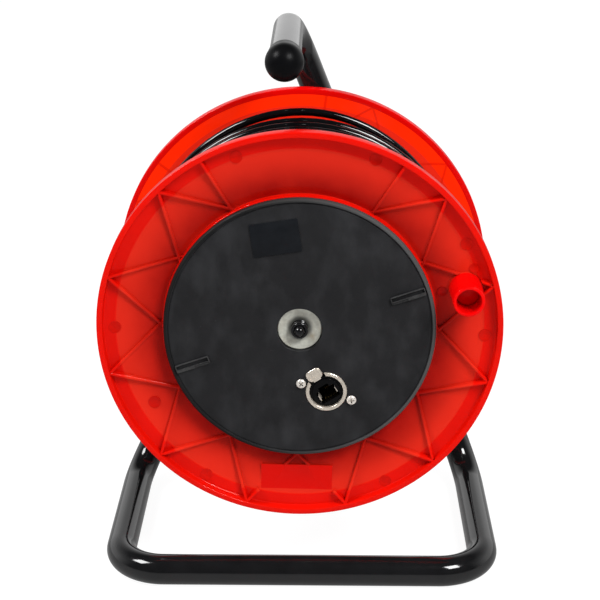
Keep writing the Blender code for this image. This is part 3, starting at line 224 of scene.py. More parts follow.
def peg(radius: float, low: float, high: float, segments: int = 24) -> bpy.types.Mesh:
    """Round peg about the Y axis from one depth to another."""
    return lathe("peg", [(0.0, low), (radius, low), (radius, high), (0.0, high)], segments)


def washer_section(bore: float, radius: float, low: float, high: float) -> Outline:
    """Section of a flat ring from one depth to another."""
    return [(bore, low), (radius, low), (radius, high), (bore, high)]


def rounded_box(width: float, height: float, corner: float, steps: int = 5) -> Outline:
    """Outline of a rectangle about the origin with rounded corners.

    Args:
        width: Size along X.
        height: Size along Z.
        corner: Radius of the corners.
        steps: Faces in each corner.

    Returns:
        The (x, z) points.
    """
    made = []
    for quarter, (across, up) in enumerate(((1, 1), (-1, 1), (-1, -1), (1, -1))):
        centre_x, centre_z = across * (width / 2 - corner), up * (height / 2 - corner)
        for step in range(steps + 1):
            x, z = polar(corner, math.pi / 2 * (quarter + step / steps))
            made.append((centre_x + x, centre_z + z))
    return made


def prism(name: str, outline: Outline, low: float, high: float, bevel: float = 0.0,
          steps: int = 2) -> bpy.types.Mesh:
    """Mesh of an (x, z) outline drawn out along Y, the edges of its two ends rounded.

    Args:
        name: Name of the mesh.
        outline: Corners of the outline.
        low: Depth of the front end.
        high: Depth of the rear end.
        bevel: Width of the rounding at both ends.
        steps: Faces in that rounding.

    Returns:
        The closed mesh.
    """
    shape = bmesh.new()
    front = shape.faces.new([shape.verts.new((x, low, z)) for x, z in outline])
    drawn = bmesh.ops.extrude_face_region(shape, geom=[front])
    back = [item for item in drawn["geom"] if isinstance(item, bmesh.types.BMVert)]
    bmesh.ops.translate(shape, verts=back, vec=(0.0, high - low, 0.0))
    if bevel:
        rims = [edge for edge in shape.edges if abs(edge.verts[0].co.y - edge.verts[1].co.y) < 1e-7]
        bmesh.ops.bevel(shape, geom=rims, offset=bevel, segments=steps, profile=0.5, affect="EDGES",
                        clamp_overlap=True)
    return close_up(name, shape, 40.0)


def moved(mesh: bpy.types.Mesh, matrix: Matrix) -> bpy.types.Mesh:
    """The mesh, turned and moved by a matrix.

    Args:
        mesh: The mesh, which is changed.
        matrix: The matrix.

    Returns:
        The same mesh.
    """
    mesh.transform(matrix)
    if matrix.determinant() < 0.0:
        mesh.flip_normals()
    return mesh


def merged(name: str, meshes: Iterable[bpy.types.Mesh]) -> bpy.types.Mesh:
    """One mesh of several.

    Args:
        name: Name of the new mesh.
        meshes: The meshes, which stay as they are.

    Returns:
        The new mesh.
    """
    shape = bmesh.new()
    for mesh in meshes:
        shape.from_mesh(mesh)
    made = bpy.data.meshes.new(name)
    shape.to_mesh(made)
    shape.free()
    return shade(made)


def in_scene(mesh: bpy.types.Mesh) -> bpy.types.Object:
    """A mesh as an object of the scene, named as its mesh is.

    Args:
        mesh: The mesh.

    Returns:
        The object.
    """
    made = bpy.data.objects.new(mesh.name, mesh)
    bpy.context.scene.collection.objects.link(made)
    return made


def baked(carrier: bpy.types.Object, helpers: Iterable[bpy.types.Object] = ()) -> bpy.types.Mesh:
    """Plain mesh of an object with its modifiers applied; the object and its helpers are removed.

    Args:
        carrier: The object.
        helpers: Objects that its modifiers read.

    Returns:
        The mesh, named as the object is.
    """
    graph = bpy.context.evaluated_depsgraph_get()
    made = bpy.data.meshes.new_from_object(carrier.evaluated_get(graph))
    made.name = carrier.name
    carrier.modifiers.clear()
    for old in (carrier, *helpers):
        bpy.data.objects.remove(old)
    return made


def combined(mesh: bpy.types.Mesh, steps: Iterable[tuple[Join, bpy.types.Mesh]],
             sharp: float = 32.0) -> bpy.types.Mesh:
    """Cut shapes out of a mesh, or join shapes to it.

    Args:
        mesh: The mesh to start from.
        steps: How to combine it with each further mesh, in order.
        sharp: Angle in degrees above which an edge stays crisp.

    Returns:
        The combined mesh.
    """
    carrier = in_scene(mesh)
    helpers = []
    for join, shape in steps:
        helper = in_scene(shape)
        step = carrier.modifiers.new("step", "BOOLEAN")
        step.operation = join.value
        step.solver = "EXACT"
        step.use_self = join is Join.ADD
        step.object = helper
        helpers.append(helper)
    return shade(baked(carrier, helpers), sharp)


def tube(name: str, points: Sequence[Vector], radius: float, sides: int) -> bpy.types.Mesh:
    """Closed round bar along points.

    Args:
        name: Name of the mesh.
        points: Centreline.
        radius: Radius of the bar.
        sides: Faces round the bar.

    Returns:
        The closed mesh.
    """
    line = np.array([tuple(point) for point in points])
    tangents = np.gradient(line, axis=0)
    tangents /= np.linalg.norm(tangents, axis=1)[:, None]
    side = np.cross(tangents[0], (0.31, 0.17, 0.93))
    turns = np.arange(sides) * math.tau / sides
    rings = []
    for point, tangent in zip(line, tangents):
        side = side - tangent * side.dot(tangent)
        side /= np.linalg.norm(side)
        other = np.cross(tangent, side)
        rings.append(point + radius * (np.outer(np.cos(turns), side) + np.outer(np.sin(turns), other)))
    first = np.arange(sides)
    starts = np.arange(len(line) - 1)[:, None] * sides
    quads = np.stack([starts + first, starts + np.roll(first, -1), starts + sides + np.roll(first, -1),
                      starts + sides + first], axis=-1).reshape(-1, 4)
    last = (len(line) - 1) * sides
    faces = quads.tolist() + [first[::-1].tolist(), (last + first).tolist()]
    mesh = bpy.data.meshes.new(name)
    mesh.from_pydata(np.concatenate(rings).tolist(), [], faces)
    mesh.validate()
    return shade(mesh, 50.0)


def bent(corners: Sequence[Vector], radius: float, steps: int) -> list[Vector]:
    """Points along straight runs between corners, with an arc of a radius at each corner.

    Args:
        corners: Ends of the straight runs.
        radius: Radius of the arcs.
        steps: Steps in each arc.

    Returns:
        The points.
    """
    points = [corners[0]]
    for before, corner, after in zip(corners, corners[1:], corners[2:]):
        back, ahead = (before - corner).normalized(), (after - corner).normalized()
        half = back.angle(ahead) / 2
        centre = corner + (back + ahead).normalized() * radius / math.sin(half)
        arm = corner + back * radius / math.tan(half) - centre
        axis, sweep = back.cross(ahead), 2 * half - math.pi
        points += [centre + Matrix.Rotation(sweep * step / steps, 3, axis) @ arm
                   for step in range(steps + 1)]
    return points + [corners[-1]]


# Node trees

class NodeTree:
    """A node tree that is built in code, node by node."""

    def __init__(self, tree: bpy.types.NodeTree) -> None:
        """Start from an existing tree."""
        self.tree = tree

    def node(self, kind: str, inputs: dict | None = None, **settings: object) -> bpy.types.Node:
        """Add a node.

        Args:
            kind: Blender's name of the node type.
            inputs: Value of each input, or the socket that feeds it, by name or number.
            **settings: Properties of the node.

        Returns:
            The node.
        """
        made = self.tree.nodes.new(kind)
        for name, value in settings.items():
            setattr(made, name, value)
        for key, value in (inputs or {}).items():
            if isinstance(value, bpy.types.NodeSocket):
                self.tree.links.new(value, made.inputs[key])
            else:
                made.inputs[key].default_value = value
        return made

    def math(self, operation: str, *values: object) -> bpy.types.NodeSocket:
        """Result of a sum on numbers or sockets."""
        return self.node("ShaderNodeMath", dict(enumerate(values)), operation=operation).outputs[0]

    def span(self, value: object, low: float, high: float, start: object = 0.0,
             stop: object = 1.0, curve: str = "LINEAR") -> bpy.types.NodeSocket:
        """A value moved from the range low to high into the range start to stop."""
        inputs = {"Value": value, "From Min": low, "From Max": high, "To Min": start, "To Max": stop}
        return self.node("ShaderNodeMapRange", inputs, interpolation_type=curve).outputs["Result"]

    def radius(self, position: bpy.types.NodeSocket) -> bpy.types.NodeSocket:
        """Distance of a position from the Y axis.

        Args:
            position: Socket of the position.

        Returns:
            Socket of the distance.
        """
        flat = self.node("ShaderNodeVectorMath", {0: position, 1: (1.0, 0.0, 1.0)}, operation="MULTIPLY")
        length = self.node("ShaderNodeVectorMath", {0: flat.outputs[0]}, operation="LENGTH")
        return length.outputs["Value"]

    def axes(self, position: bpy.types.NodeSocket) -> bpy.types.bpy_prop_collection:
        """The X, Y and Z of a position."""
        return self.node("ShaderNodeSeparateXYZ", {0: position}).outputs

    def step(self, value: object, limit: float, start: object = 0.0, stop: float = 1.0,
             soft: float = 0.0002) -> bpy.types.NodeSocket:
        """A value's step from start to stop at a limit."""
        return self.span(value, limit - soft, limit + soft, start, stop)


class GeometryTree(NodeTree):
    """A Geometry Nodes tree with named inputs, run on a carrier mesh."""

    def __init__(self, name: str, inputs: dict[str, float]) -> None:
        """Open a tree whose inputs have these names and values.

        Args:
            name: Name of the tree.
            inputs: Value of each named input.
        """
        super().__init__(bpy.data.node_groups.new(name, "GeometryNodeTree"))
        self.values = inputs
        sockets = self.tree.interface
        sockets.new_socket("Geometry", in_out="INPUT", socket_type="NodeSocketGeometry")
        sockets.new_socket("Geometry", in_out="OUTPUT", socket_type="NodeSocketGeometry")
        for label in inputs:
            sockets.new_socket(label, in_out="INPUT", socket_type="NodeSocketFloat")
        self.inputs = self.node("NodeGroupInput").outputs

    def attribute(self, name: str) -> bpy.types.NodeSocket:
        """A number that the carrier's points hold by name."""
        return self.node("GeometryNodeInputNamedAttribute", {"Name": name},
                         data_type="FLOAT").outputs["Attribute"]

    def copies(self, shape: object, turn: bpy.types.NodeSocket,
               scale: object = (1.0, 1.0, 1.0)) -> bpy.types.NodeSocket:
        """The carrier's points, each with a copy of a shape turned about Y.

        Args:
            shape: Socket of the shape.
            turn: Socket of the turn.
            scale: Scale of the copies.

        Returns:
            Socket of the copies' geometry.
        """
        angles = self.node("ShaderNodeCombineXYZ", {"Y": turn}).outputs[0]
        copies = self.node("GeometryNodeInstanceOnPoints", {
            "Points": self.inputs["Geometry"], "Instance": shape, "Rotation": angles, "Scale": scale})
        return self.node("GeometryNodeRealizeInstances", {0: copies.outputs[0]}).outputs[0]

    def run(self, shape: bpy.types.NodeSocket, carrier: bpy.types.Mesh,
            finish: Finish, helpers: Iterable[bpy.types.Object] = ()) -> bpy.types.Mesh:
        """End the tree and run it.

        Args:
            shape: Socket of the finished geometry.
            carrier: Mesh that the tree runs on.
            finish: Finish of the result.
            helpers: Objects that the tree reads, removed afterwards.

        Returns:
            The result as a plain mesh.
        """
        whole = self.node("GeometryNodeRealizeInstances", {0: shape}).outputs[0]
        dressed = self.node("GeometryNodeSetMaterial", {"Geometry": whole, "Material": finish.material()})
        self.node("NodeGroupOutput", {0: dressed.outputs[0]})
        holder = in_scene(carrier)
        modifier = holder.modifiers.new("tree", "NODES")
        modifier.node_group = self.tree
        for item in self.tree.interface.items_tree:
            if item.in_out == "INPUT" and item.name in self.values:
                modifier[item.identifier] = float(self.values[item.name])
        return shade(baked(holder, helpers))


def points_mesh(name: str, places: Sequence[Sequence[float]], **numbers: Sequence[float]) -> bpy.types.Mesh:
    """Carrier mesh of loose points.

    Args:
        name: Name of the mesh.
        places: Positions of the points.
        **numbers: Named numbers, one for each point.

    Returns:
        The mesh.
    """
    mesh = bpy.data.meshes.new(name)
    mesh.from_pydata([tuple(point) for point in places], [], [])
    for label, values in numbers.items():
        mesh.attributes.new(label, "FLOAT", "POINT").data.foreach_set("value", list(values))
    return mesh


def repeated(name: str, shape: bpy.types.Mesh, places: Sequence[Sequence[float]], finish: Finish,
             turns: Sequence[float] = ()) -> bpy.types.Mesh:
    """Mesh of a shape repeated at several places by Geometry Nodes.

    Args:
        name: Name of the mesh.
        shape: The shape to repeat.
        places: (x, depth, z) of each copy.
        finish: Finish of the copies.
        turns: Turn of each copy about Y, from +X towards +Z; none of them turns when left out.

    Returns:
        The mesh of all copies.
    """
    template = in_scene(shape)
    tree = GeometryTree(name, {"Size": 1.0})
    source = tree.node("GeometryNodeObjectInfo", {"Object": template}).outputs["Geometry"]
    size = tree.node("ShaderNodeCombineXYZ", {axis: tree.inputs["Size"] for axis in "XYZ"}).outputs[0]
    angle = tree.math("MULTIPLY", tree.attribute("turn"), -1.0)
    copies = tree.copies(source, angle, size)
    carrier = points_mesh(name, places, turn=turns or [0.0] * len(places))
    return tree.run(copies, carrier, finish, [template])


def thread(name: str, radius: float, depth: float, low: float, high: float, pitch: float,
           finish: Finish) -> bpy.types.Mesh:
    """Ridge of a screw thread round the Y axis, swept along a spiral by Geometry Nodes.

    Args:
        name: Name of the mesh.
        radius: Radius of the spiral.
        depth: Half height of the ridge.
        low: Depth where the thread starts.
        high: Depth where it ends.
        pitch: Rise for each turn.
        finish: Finish of the thread.

    Returns:
        The mesh of the ridge.
    """
    turns = (high - low) / pitch
    tree = GeometryTree(name, {"Radius": radius, "Turns": turns, "Length": high - low, "Ridge": depth})
    spiral = tree.node("GeometryNodeCurveSpiral", {
        "Resolution": 28, "Rotations": tree.inputs["Turns"], "Start Radius": tree.inputs["Radius"],
        "End Radius": tree.inputs["Radius"], "Height": tree.inputs["Length"]}).outputs[0]
    section = tree.node("GeometryNodeCurvePrimitiveCircle", {
        "Resolution": 6, "Radius": tree.inputs["Ridge"]}, mode="RADIUS").outputs[0]
    ridge = tree.node("GeometryNodeCurveToMesh", {
        "Curve": spiral, "Profile Curve": section, "Fill Caps": True}).outputs[0]
    mesh = tree.run(ridge, points_mesh(name, [(0.0, 0.0, 0.0)]), finish)
    upright = Matrix.Translation((0.0, low, 0.0)) @ Matrix.Rotation(math.radians(-90.0), 4, "X")
    return moved(mesh, upright)


# Finishes

class Shader(NodeTree):
    """The node tree of one material."""

    def __init__(self, name: str) -> None:
        """Open a new material with its usual shader.

        Args:
            name: Name of the material.
        """
        self.material = bpy.data.materials.new(name)
        self.material.use_nodes = True
        super().__init__(self.material.node_tree)
        self.base = self.tree.nodes["Principled BSDF"]
        self.place = self.node("ShaderNodeTexCoord").outputs["Object"]

    def noise(self, size: float, detail: float = 3.0,
              stretch: tuple[float, float, float] = (1.0, 1.0, 1.0)) -> bpy.types.NodeSocket:
        """Noise with features of a size in metres, from 0 to 1.

        Args:
            size: Size of the features.
            detail: Finer layers in the noise.
            stretch: Scale of the noise along each axis.

        Returns:
            Socket of the value.
        """
        at = self.node("ShaderNodeMapping", {"Vector": self.place, "Scale": stretch}).outputs[0]
        inputs = {"Vector": at, "Scale": 1.0 / size, "Detail": detail, "Roughness": 0.55}
        return self.node("ShaderNodeTexNoise", inputs).outputs[0]

    def about(self, centre: Sequence[float]) -> bpy.types.NodeSocket:
        """Place on the surface, counted from a centre."""
        shift = tuple(-value for value in centre)
        return self.node("ShaderNodeMapping", {"Vector": self.place, "Location": shift}).outputs[0]

    def mixed(self, share: object, *colours: Colour | bpy.types.NodeSocket) -> bpy.types.NodeSocket:
        """Colour between two colours.

        Args:
            share: How much there is of the second colour.
            *colours: The two colours.

        Returns:
            Socket of the colour.
        """
        first, second = (value if isinstance(value, bpy.types.NodeSocket) else (*value, 1.0)
                         for value in colours)
        return self.node("ShaderNodeMix", {0: share, 6: first, 7: second}, data_type="RGBA").outputs[2]

    def feed(self, name: str, socket: bpy.types.NodeSocket) -> None:
        """Feed one input of the shader."""
        self.tree.links.new(socket, self.base.inputs[name])

    def bump(self, height: object, depth: float, below: object | None = None) -> bpy.types.NodeSocket:
        """Normal of a surface with relief of a depth in metres.

        Args:
            height: Relief from 0 to 1.
            depth: Depth of the relief.
            below: Normal that the relief lies on.

        Returns:
            Socket of the normal.
        """
        inputs = {"Height": height, "Distance": depth, "Strength": 1.0}
        if below is not None:
            inputs["Normal"] = below
        return self.node("ShaderNodeBump", inputs).outputs[0]


@dataclass(frozen=True)
class Finish:
    """Colour and gloss of a surface, with the small unevenness of the real one."""

    name: str
    colour: Colour
    roughness: float
    metallic: float = 0.0
    mottle: float = 0.12
    mottle_size: float = 0.012
    grain: float = 0.0004
    grain_depth: float = 0.00001
    gloss_change: float = 0.06
    fixed: tuple[tuple[str, object], ...] = ()

    @functools.cache
    def material(self) -> bpy.types.Material:
        """Blender's material of this finish, made once.

        Returns:
            The material.
        """
        shader = Shader(self.name)
        shader.base.inputs["Metallic"].default_value = self.metallic
        for socket, value in self.fixed:
            shader.base.inputs[socket].default_value = value
        self.dress(shader)
        return shader.material

    def tint(self, shader: Shader) -> bpy.types.NodeSocket:
        """Base colour, a little uneven.

        Args:
            shader: Node tree of the material.

        Returns:
            Socket of the colour.
        """
        darker = tuple(value * (1.0 - self.mottle) for value in self.colour)
        lighter = tuple(min(1.0, value * (1.0 + self.mottle)) for value in self.colour)
        spread = shader.span(shader.noise(self.mottle_size), 0.3, 0.7)
        return shader.mixed(spread, darker, lighter)

    def relief(self, shader: Shader) -> bpy.types.NodeSocket:
        """Normal with the surface's fine grain."""
        return shader.bump(shader.noise(self.grain, 2.0), self.grain_depth)

    def dress(self, shader: Shader) -> None:
        """Link colour, roughness and relief to the shader.

        Args:
            shader: Node tree of the material.
        """
        shader.feed("Base Color", self.tint(shader))
        low, high = self.roughness - self.gloss_change, self.roughness + self.gloss_change
        shader.feed("Roughness", shader.span(shader.noise(0.008), 0.3, 0.7, low, high))
        shader.feed("Normal", self.relief(shader))


@dataclass(frozen=True)
class DrumPlastic(Finish):
    """Plastic of the flanges, with painted shade: less light comes through it where the dark winding is
    behind.
    """

    # Painted shade: deep is the red where the winding behind keeps the light out, thin the red where that
    # shade starts
    deep: Colour = (0.26, 0.002, 0.001)
    thin: Colour = (0.64, 0.020, 0.008)
    solid: Colour = (0.52, 0.003, 0.001)
    winding_r: float = BAND_R
    hub_r: float = 0.0782
    pad: tuple[float, float, float] = PAD
    pad_turn: float = FRONT_TURN

    def on_pad(self, shader: Shader, about: bpy.types.NodeSocket) -> bpy.types.NodeSocket:
        """1 on the label pad, whose plastic is thicker, and 0 elsewhere.

        Args:
            shader: Node tree of the material.
            about: Place counted from the axle.

        Returns:
            Socket of the share.
        """
        width, inner, outer = self.pad
        cos, sin = math.cos(self.pad_turn), math.sin(self.pad_turn)
        across, down = (shader.node("ShaderNodeVectorMath", {0: about, 1: way},
                                    operation="DOT_PRODUCT").outputs["Value"]
                        for way in ((cos, 0.0, sin), (sin, 0.0, -cos)))
        off = shader.math("ABSOLUTE", shader.math("SUBTRACT", down, (inner + outer) / 2))
        half, soft = (outer - inner) / 2, 0.0003
        return shader.math("MULTIPLY", shader.span(off, half - soft, half, 1.0, 0.0), shader.span(
            shader.math("ABSOLUTE", across), width / 2 - soft, width / 2, 1.0, 0.0))

    def tint(self, shader: Shader) -> bpy.types.NodeSocket:
        """Red with painted shade that deepens from the winding's edge in to the hub.

        Args:
            shader: Node tree of the material.

        Returns:
            Socket of the colour.
        """
        about = shader.about(REEL.translation)
        radius = shader.radius(about)
        # Painted shade: darker towards the hub, in patches, where the winding behind keeps light from coming
        # through
        behind = shader.span(radius, self.hub_r, self.winding_r, 0.90, 0.12, "SMOOTHSTEP")
        edge = shader.step(radius, self.winding_r, 1.0, 0.0, 0.0004)
        inside = shader.step(radius, self.hub_r)
        share = shader.math("MULTIPLY", shader.math("MULTIPLY", behind, edge), inside)
        cloudy = shader.span(shader.noise(0.02), 0.3, 0.7, 0.85, 1.15)
        web = shader.math("MULTIPLY", edge, inside)
        plain = shader.mixed(web, super().tint(shader), self.thin)
        shaded = shader.mixed(shader.math("MULTIPLY", share, cloudy), plain, self.deep)
        return shader.mixed(self.on_pad(shader, about), shaded, self.solid)


@dataclass(frozen=True)
class RearPlastic(DrumPlastic):
    """Plastic of the rear flange: a painted glow between its rim and the winding, and painted shade on the
    rim and where its ribs show through.
    """

    # Painted shade: rim is the red of the rim's ring, rib the red of the ribs' lines seen through the web
    rim: Colour = (0.60, 0.001, 0.001)
    rim_r: float = 0.1117
    rib: Colour = (0.45, 0.004, 0.001)
    rib_tips: float = math.radians(67.4)
    rib_r: tuple[float, float] = RIB_R
    rib_half_step: float = math.radians(15.0)
    panel: tuple[float, float] = (math.radians(82.4), math.radians(142.4))
    pad: tuple[float, float, float] = (0.0, *PAD[1:])
    # Painted glow: emission colour for the light that comes through the plastic
    glow: Colour = (1.0, 0.012, 0.0)

    def dress(self, shader: Shader) -> None:
        """Link the finish, and a painted glow for the light that comes through the thin web, weaker on the
        rim.

        Args:
            shader: Node tree of the material.
        """
        super().dress(shader)
        radius = shader.radius(shader.about(REEL.translation))
        # Painted glow: full on the web, about a third of it on the rim
        inside = shader.step(radius, self.hub_r)
        share = shader.step(radius, self.rim_r, inside, 0.35)
        shader.feed("Emission Color", shader.mixed(share, (0.0, 0.0, 0.0), self.glow))

    def tint(self, shader: Shader) -> bpy.types.NodeSocket:
        """Bright red with the ribs' zigzag and the rim's ring painted in as darker shade.

        Args:
            shader: Node tree of the material.

        Returns:
            Socket of the colour.
        """
        about = shader.about(REEL.translation)
        radius = shader.radius(about)
        parts = shader.axes(about)
        angle = shader.math("ARCTAN2", parts["Z"], parts["X"])
        half = self.rib_half_step
        away = shader.math("PINGPONG", shader.math("SUBTRACT", angle, self.rib_tips - math.tau), half)
        inner, outer = self.rib_r
        line = shader.span(away, 0.0, half, outer, inner)
        off = shader.math("ABSOLUTE", shader.math("SUBTRACT", radius, line))
        drawn = shader.span(off, 0.0008, 0.0014, 1.0, 0.0)
        low, high = self.panel
        smooth = shader.math("MULTIPLY", shader.math("GREATER_THAN", angle, low),
                             shader.math("LESS_THAN", angle, high))
        drawn = shader.math("MULTIPLY", drawn, shader.math("SUBTRACT", 1.0, smooth))
        for side in self.panel:
            gap = shader.math("ABSOLUTE", shader.math("SUBTRACT", angle, side))
            radial = shader.span(shader.math("MULTIPLY", gap, radius), 0.0006, 0.0011, 1.0, 0.0)
            drawn = shader.math("MAXIMUM", drawn, radial)
        # Painted shade: the ribs' lines, then the rim's ring, drawn darker
        plain = shader.mixed(shader.math("MULTIPLY", drawn, 0.6), super().tint(shader), self.rib)
        ring = shader.step(radius, self.rim_r)
        return shader.mixed(ring, plain, self.rim)


@dataclass(frozen=True)
class PlatedMetal(Finish):
    """Plated metal with soft stains, and turned rings where it has a centre; painted shade can darken it
    round that centre.
    """

    stain: Colour = (0.40, 0.33, 0.22)
    stain_share: float = 0.25
    ring_pitch: float = 0.0
    ring_depth: float = 0.000004
    centre: tuple[float, float, float] = (0.0, 0.0, 0.0)
    spot: tuple[float, float, float] = (0.0, 0.0, 0.0)
    # Painted shade round the centre, from the first radius out to the second, and its colour
    painted_shade_span: tuple[float, float] = (0.0, 0.0)
    painted_shade_colour: Colour = (0.03, 0.03, 0.028)

    def tint(self, shader: Shader) -> bpy.types.NodeSocket:
        """Plating with stains, the strongest one at a spot, and painted shade round the centre.

        Args:
            shader: Node tree of the material.

        Returns:
            Socket of the colour.
        """
        plain = super().tint(shader)
        share = shader.span(shader.noise(0.004, 4.0), 0.5, 0.72, 0.0, self.stain_share)
        x, z, reach = self.spot
        if reach:
            at = Vector(self.centre) + Vector((x, 0.0, z))
            near = shader.span(shader.radius(shader.about(at)), reach, 0.0, 0.0, 0.75, "SMOOTHSTEP")
            patchy = shader.span(shader.noise(0.0022, 3.0), 0.35, 0.6, 0.2, 1.0)
            share = shader.math("MAXIMUM", share, shader.math("MULTIPLY", near, patchy))
        stained = shader.mixed(share, plain, self.stain)
        inner, outer = self.painted_shade_span
        if not outer:
            return stained
        # Painted shade: darker close round the axis of the centre, where the collar shades the washer
        radius = shader.radius(shader.about(self.centre))
        shade_share = shader.span(radius, inner, outer, 0.85, 0.0, "SMOOTHSTEP")
        return shader.mixed(shade_share, stained, self.painted_shade_colour)

    def relief(self, shader: Shader) -> bpy.types.NodeSocket:
        """Fine grain, and turned rings about the centre.

        Args:
            shader: Node tree of the material.

        Returns:
            Socket of the normal.
        """
        grain = super().relief(shader)
        if not self.ring_pitch:
            return grain
        radius = shader.radius(shader.about(self.centre))
        wave = shader.math("SINE", shader.math("MULTIPLY", radius, math.tau / self.ring_pitch))
        return shader.bump(wave, self.ring_depth, grain)


@dataclass(frozen=True)
class HubPlastic(Finish):
    """Dull black plastic with dust and rubbed smears, a paler painted highlight on its raised parts and
    painted shade and light on its edge.
    """

    dust: Colour = (0.045, 0.046, 0.050)
    # Painted highlight on the raised parts, full from the first depth forward to the second
    painted_highlight: Colour = (0.040, 0.040, 0.040)
    painted_highlight_depth: tuple[float, float] = (0.00148, 0.00050)
    # Painted shade and light on the edge ring: darker on the left, paler on the right where more light falls
    edge_r: float = 0.0753
    painted_edge_tones: tuple[Colour, Colour] = ((0.006, 0.006, 0.006), (0.062, 0.062, 0.062))

    def tint(self, shader: Shader) -> bpy.types.NodeSocket:
        """Black with pale smears that run up and down, a painted highlight on raised parts and painted light
        and shade on the edge.

        Args:
            shader: Node tree of the material.

        Returns:
            Socket of the colour.
        """
        plain = super().tint(shader)
        smear = shader.span(shader.noise(0.015, 5.0, (1.0, 1.0, 0.6)), 0.45, 0.75, 0.0, 0.30)
        specks = shader.span(shader.noise(0.0012, 2.0), 0.68, 0.74, 0.0, 0.35)
        dusty = shader.mixed(shader.math("MAXIMUM", smear, specks), plain, self.dust)
        # Painted highlight: paler on the raised grips and edge, in patches
        depth = shader.math("SUBTRACT", shader.axes(shader.place)["Y"], REEL.translation.y)
        raised = shader.span(depth, *self.painted_highlight_depth, 0.0, 0.9, "SMOOTHSTEP")
        patchy = shader.span(shader.noise(0.0025, 4.0), 0.3, 0.62, 0.25, 1.0)
        painted_highlight = shader.mixed(shader.math("MULTIPLY", raised, patchy), dusty, self.painted_highlight)
        # Painted shade and light: the edge ring darker on the left, paler on the right
        about = shader.about(REEL.translation)
        side = shader.span(shader.axes(about)["X"], -0.03, 0.05)
        dark, pale = self.painted_edge_tones
        edge = shader.step(shader.radius(about), self.edge_r, 0.0, 0.9)
        return shader.mixed(edge, painted_highlight, shader.mixed(side, dark, pale))


RED = (0.59, 0.004, 0.001)
FLAT = (("Specular IOR Level", 0.06),)
DULL = (("Specular IOR Level", 0.2),)
POLISH = (("Specular IOR Level", 0.02), ("Coat Weight", 0.15), ("Coat Roughness", 0.08))
# Polish with an emission strength, for the rear flange's painted glow
POLISH_WITH_PAINTED_GLOW = (*POLISH, ("Emission Strength", 0.22))
RED_FLANGE = DrumPlastic("red_flange", RED, 0.36, mottle=0.05, mottle_size=0.03, grain=0.0009,
                         grain_depth=0.00002, fixed=POLISH)
# The rear flange's red is painted brighter than the front's, for the light that comes through it
RED_REAR = RearPlastic("red_rear", (0.90, 0.020, 0.001), 0.36, mottle=0.05, mottle_size=0.03,
                       grain=0.0009, grain_depth=0.00002, fixed=POLISH_WITH_PAINTED_GLOW)
RED_KNOB = Finish("red_knob", (0.68, 0.001, 0.001), 0.30, mottle=0.04, grain=0.0007, fixed=POLISH)
RED_BARREL = Finish("red_barrel", RED, 0.4, mottle=0.05)
# Pin marks in a darker red, with the flanges' painted shade on them
RED_MARK = DrumPlastic("red_mark", (0.50, 0.004, 0.001), 0.5, mottle=0.10, mottle_size=0.003,
                       fixed=POLISH, deep=(0.20, 0.001, 0.001), thin=(0.52, 0.006, 0.002))
BLACK_COAT = Finish("black_coat", (0.006, 0.006, 0.0065), 0.10, mottle=0.2, grain=0.0016,
                    grain_depth=0.000012, gloss_change=0.03)
BLACK_CAP = Finish("black_cap", (0.003, 0.003, 0.0035), 0.34, grain=0.0005, grain_depth=0.00001, fixed=FLAT)
BLACK_HUB = HubPlastic("black_hub", (0.0105, 0.0105, 0.0117), 0.58, grain=0.00035, grain_depth=0.00003,
                       fixed=DULL)
BLACK_PART = Finish("black_part", (0.012, 0.012, 0.013), 0.5)
BLACK_INSERT = Finish("black_insert", (0.002, 0.002, 0.0023), 0.25, fixed=DULL)
LABEL_FACE = Finish("label_face", (0.0055, 0.0065, 0.0085), 0.40, mottle=0.15, mottle_size=0.005,
                    grain=0.002, grain_depth=0.000008, fixed=DULL)
SHEATH = Finish("cable_sheath", (0.002, 0.002, 0.0024), 0.09, mottle=0.2, grain=0.0060,
                grain_depth=0.00003, gloss_change=0.03)
ZINC = PlatedMetal("zinc", (0.60, 0.60, 0.53), 0.42, 0.45, mottle=0.16, mottle_size=0.003,
                   grain=0.0007, grain_depth=0.00004, ring_pitch=0.0007, centre=tuple(REEL.translation),
                   spot=(0.0071, -0.0050, 0.0040), painted_shade_span=(0.0052, 0.0085))
NICKEL = PlatedMetal("nickel", (0.88, 0.79, 0.68), 0.22, 0.72, mottle=0.10, mottle_size=0.002,
                     grain=0.001, grain_depth=0.00001, stain_share=0.15)
STEEL = PlatedMetal("steel", (0.80, 0.75, 0.69), 0.26, 0.5, mottle=0.1, grain=0.0006, grain_depth=0.00001)
GOLD = Finish("gold", (0.50, 0.36, 0.14), 0.3, 1.0, mottle=0.06)
NYLON = Finish("nylon", (0.78, 0.77, 0.72), 0.45, mottle=0.05, fixed=(("Subsurface Weight", 0.1),))
CLEAR = Finish("clear_plastic", (0.86, 0.89, 0.90), 0.08, mottle=0.02, gloss_change=0.02,
               fixed=(("Transmission Weight", 0.85), ("IOR", 1.58)))


@dataclass
class Assembly:
    """A sub-assembly of the reel. It lists the pieces that it has made."""

    made: list[bpy.types.Object] = field(default_factory=list, init=False)

    def add(self, name: str, mesh: bpy.types.Mesh, finish: Finish, body: Body, slot: str,
            replaces: Sequence[str] = (), at: Matrix = REEL) -> bpy.types.Object:
        """Put a mesh in the scene as a finished piece.

        Args:
            name: Name of the piece.
            mesh: Its mesh, about the axle unless another matrix is given.
            finish: Its finish.
            body: Body that it rides on.
            slot: Material slot of the record; not used.
            replaces: Nodes of the frame that it stands for.
            at: Matrix from the mesh's own place to the frame.

        Returns:
            The piece.
        """
        mesh.name = name
        moved(mesh, at)
        mesh.materials.clear()
        mesh.materials.append(finish.material())
        piece = in_scene(mesh)
        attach(piece, body.value)
        if replaces:
            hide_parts(*replaces)
        self.made.append(piece)
        return piece

    def build(self) -> None:
        """Make every piece of the sub-assembly."""
        raise NotImplementedError


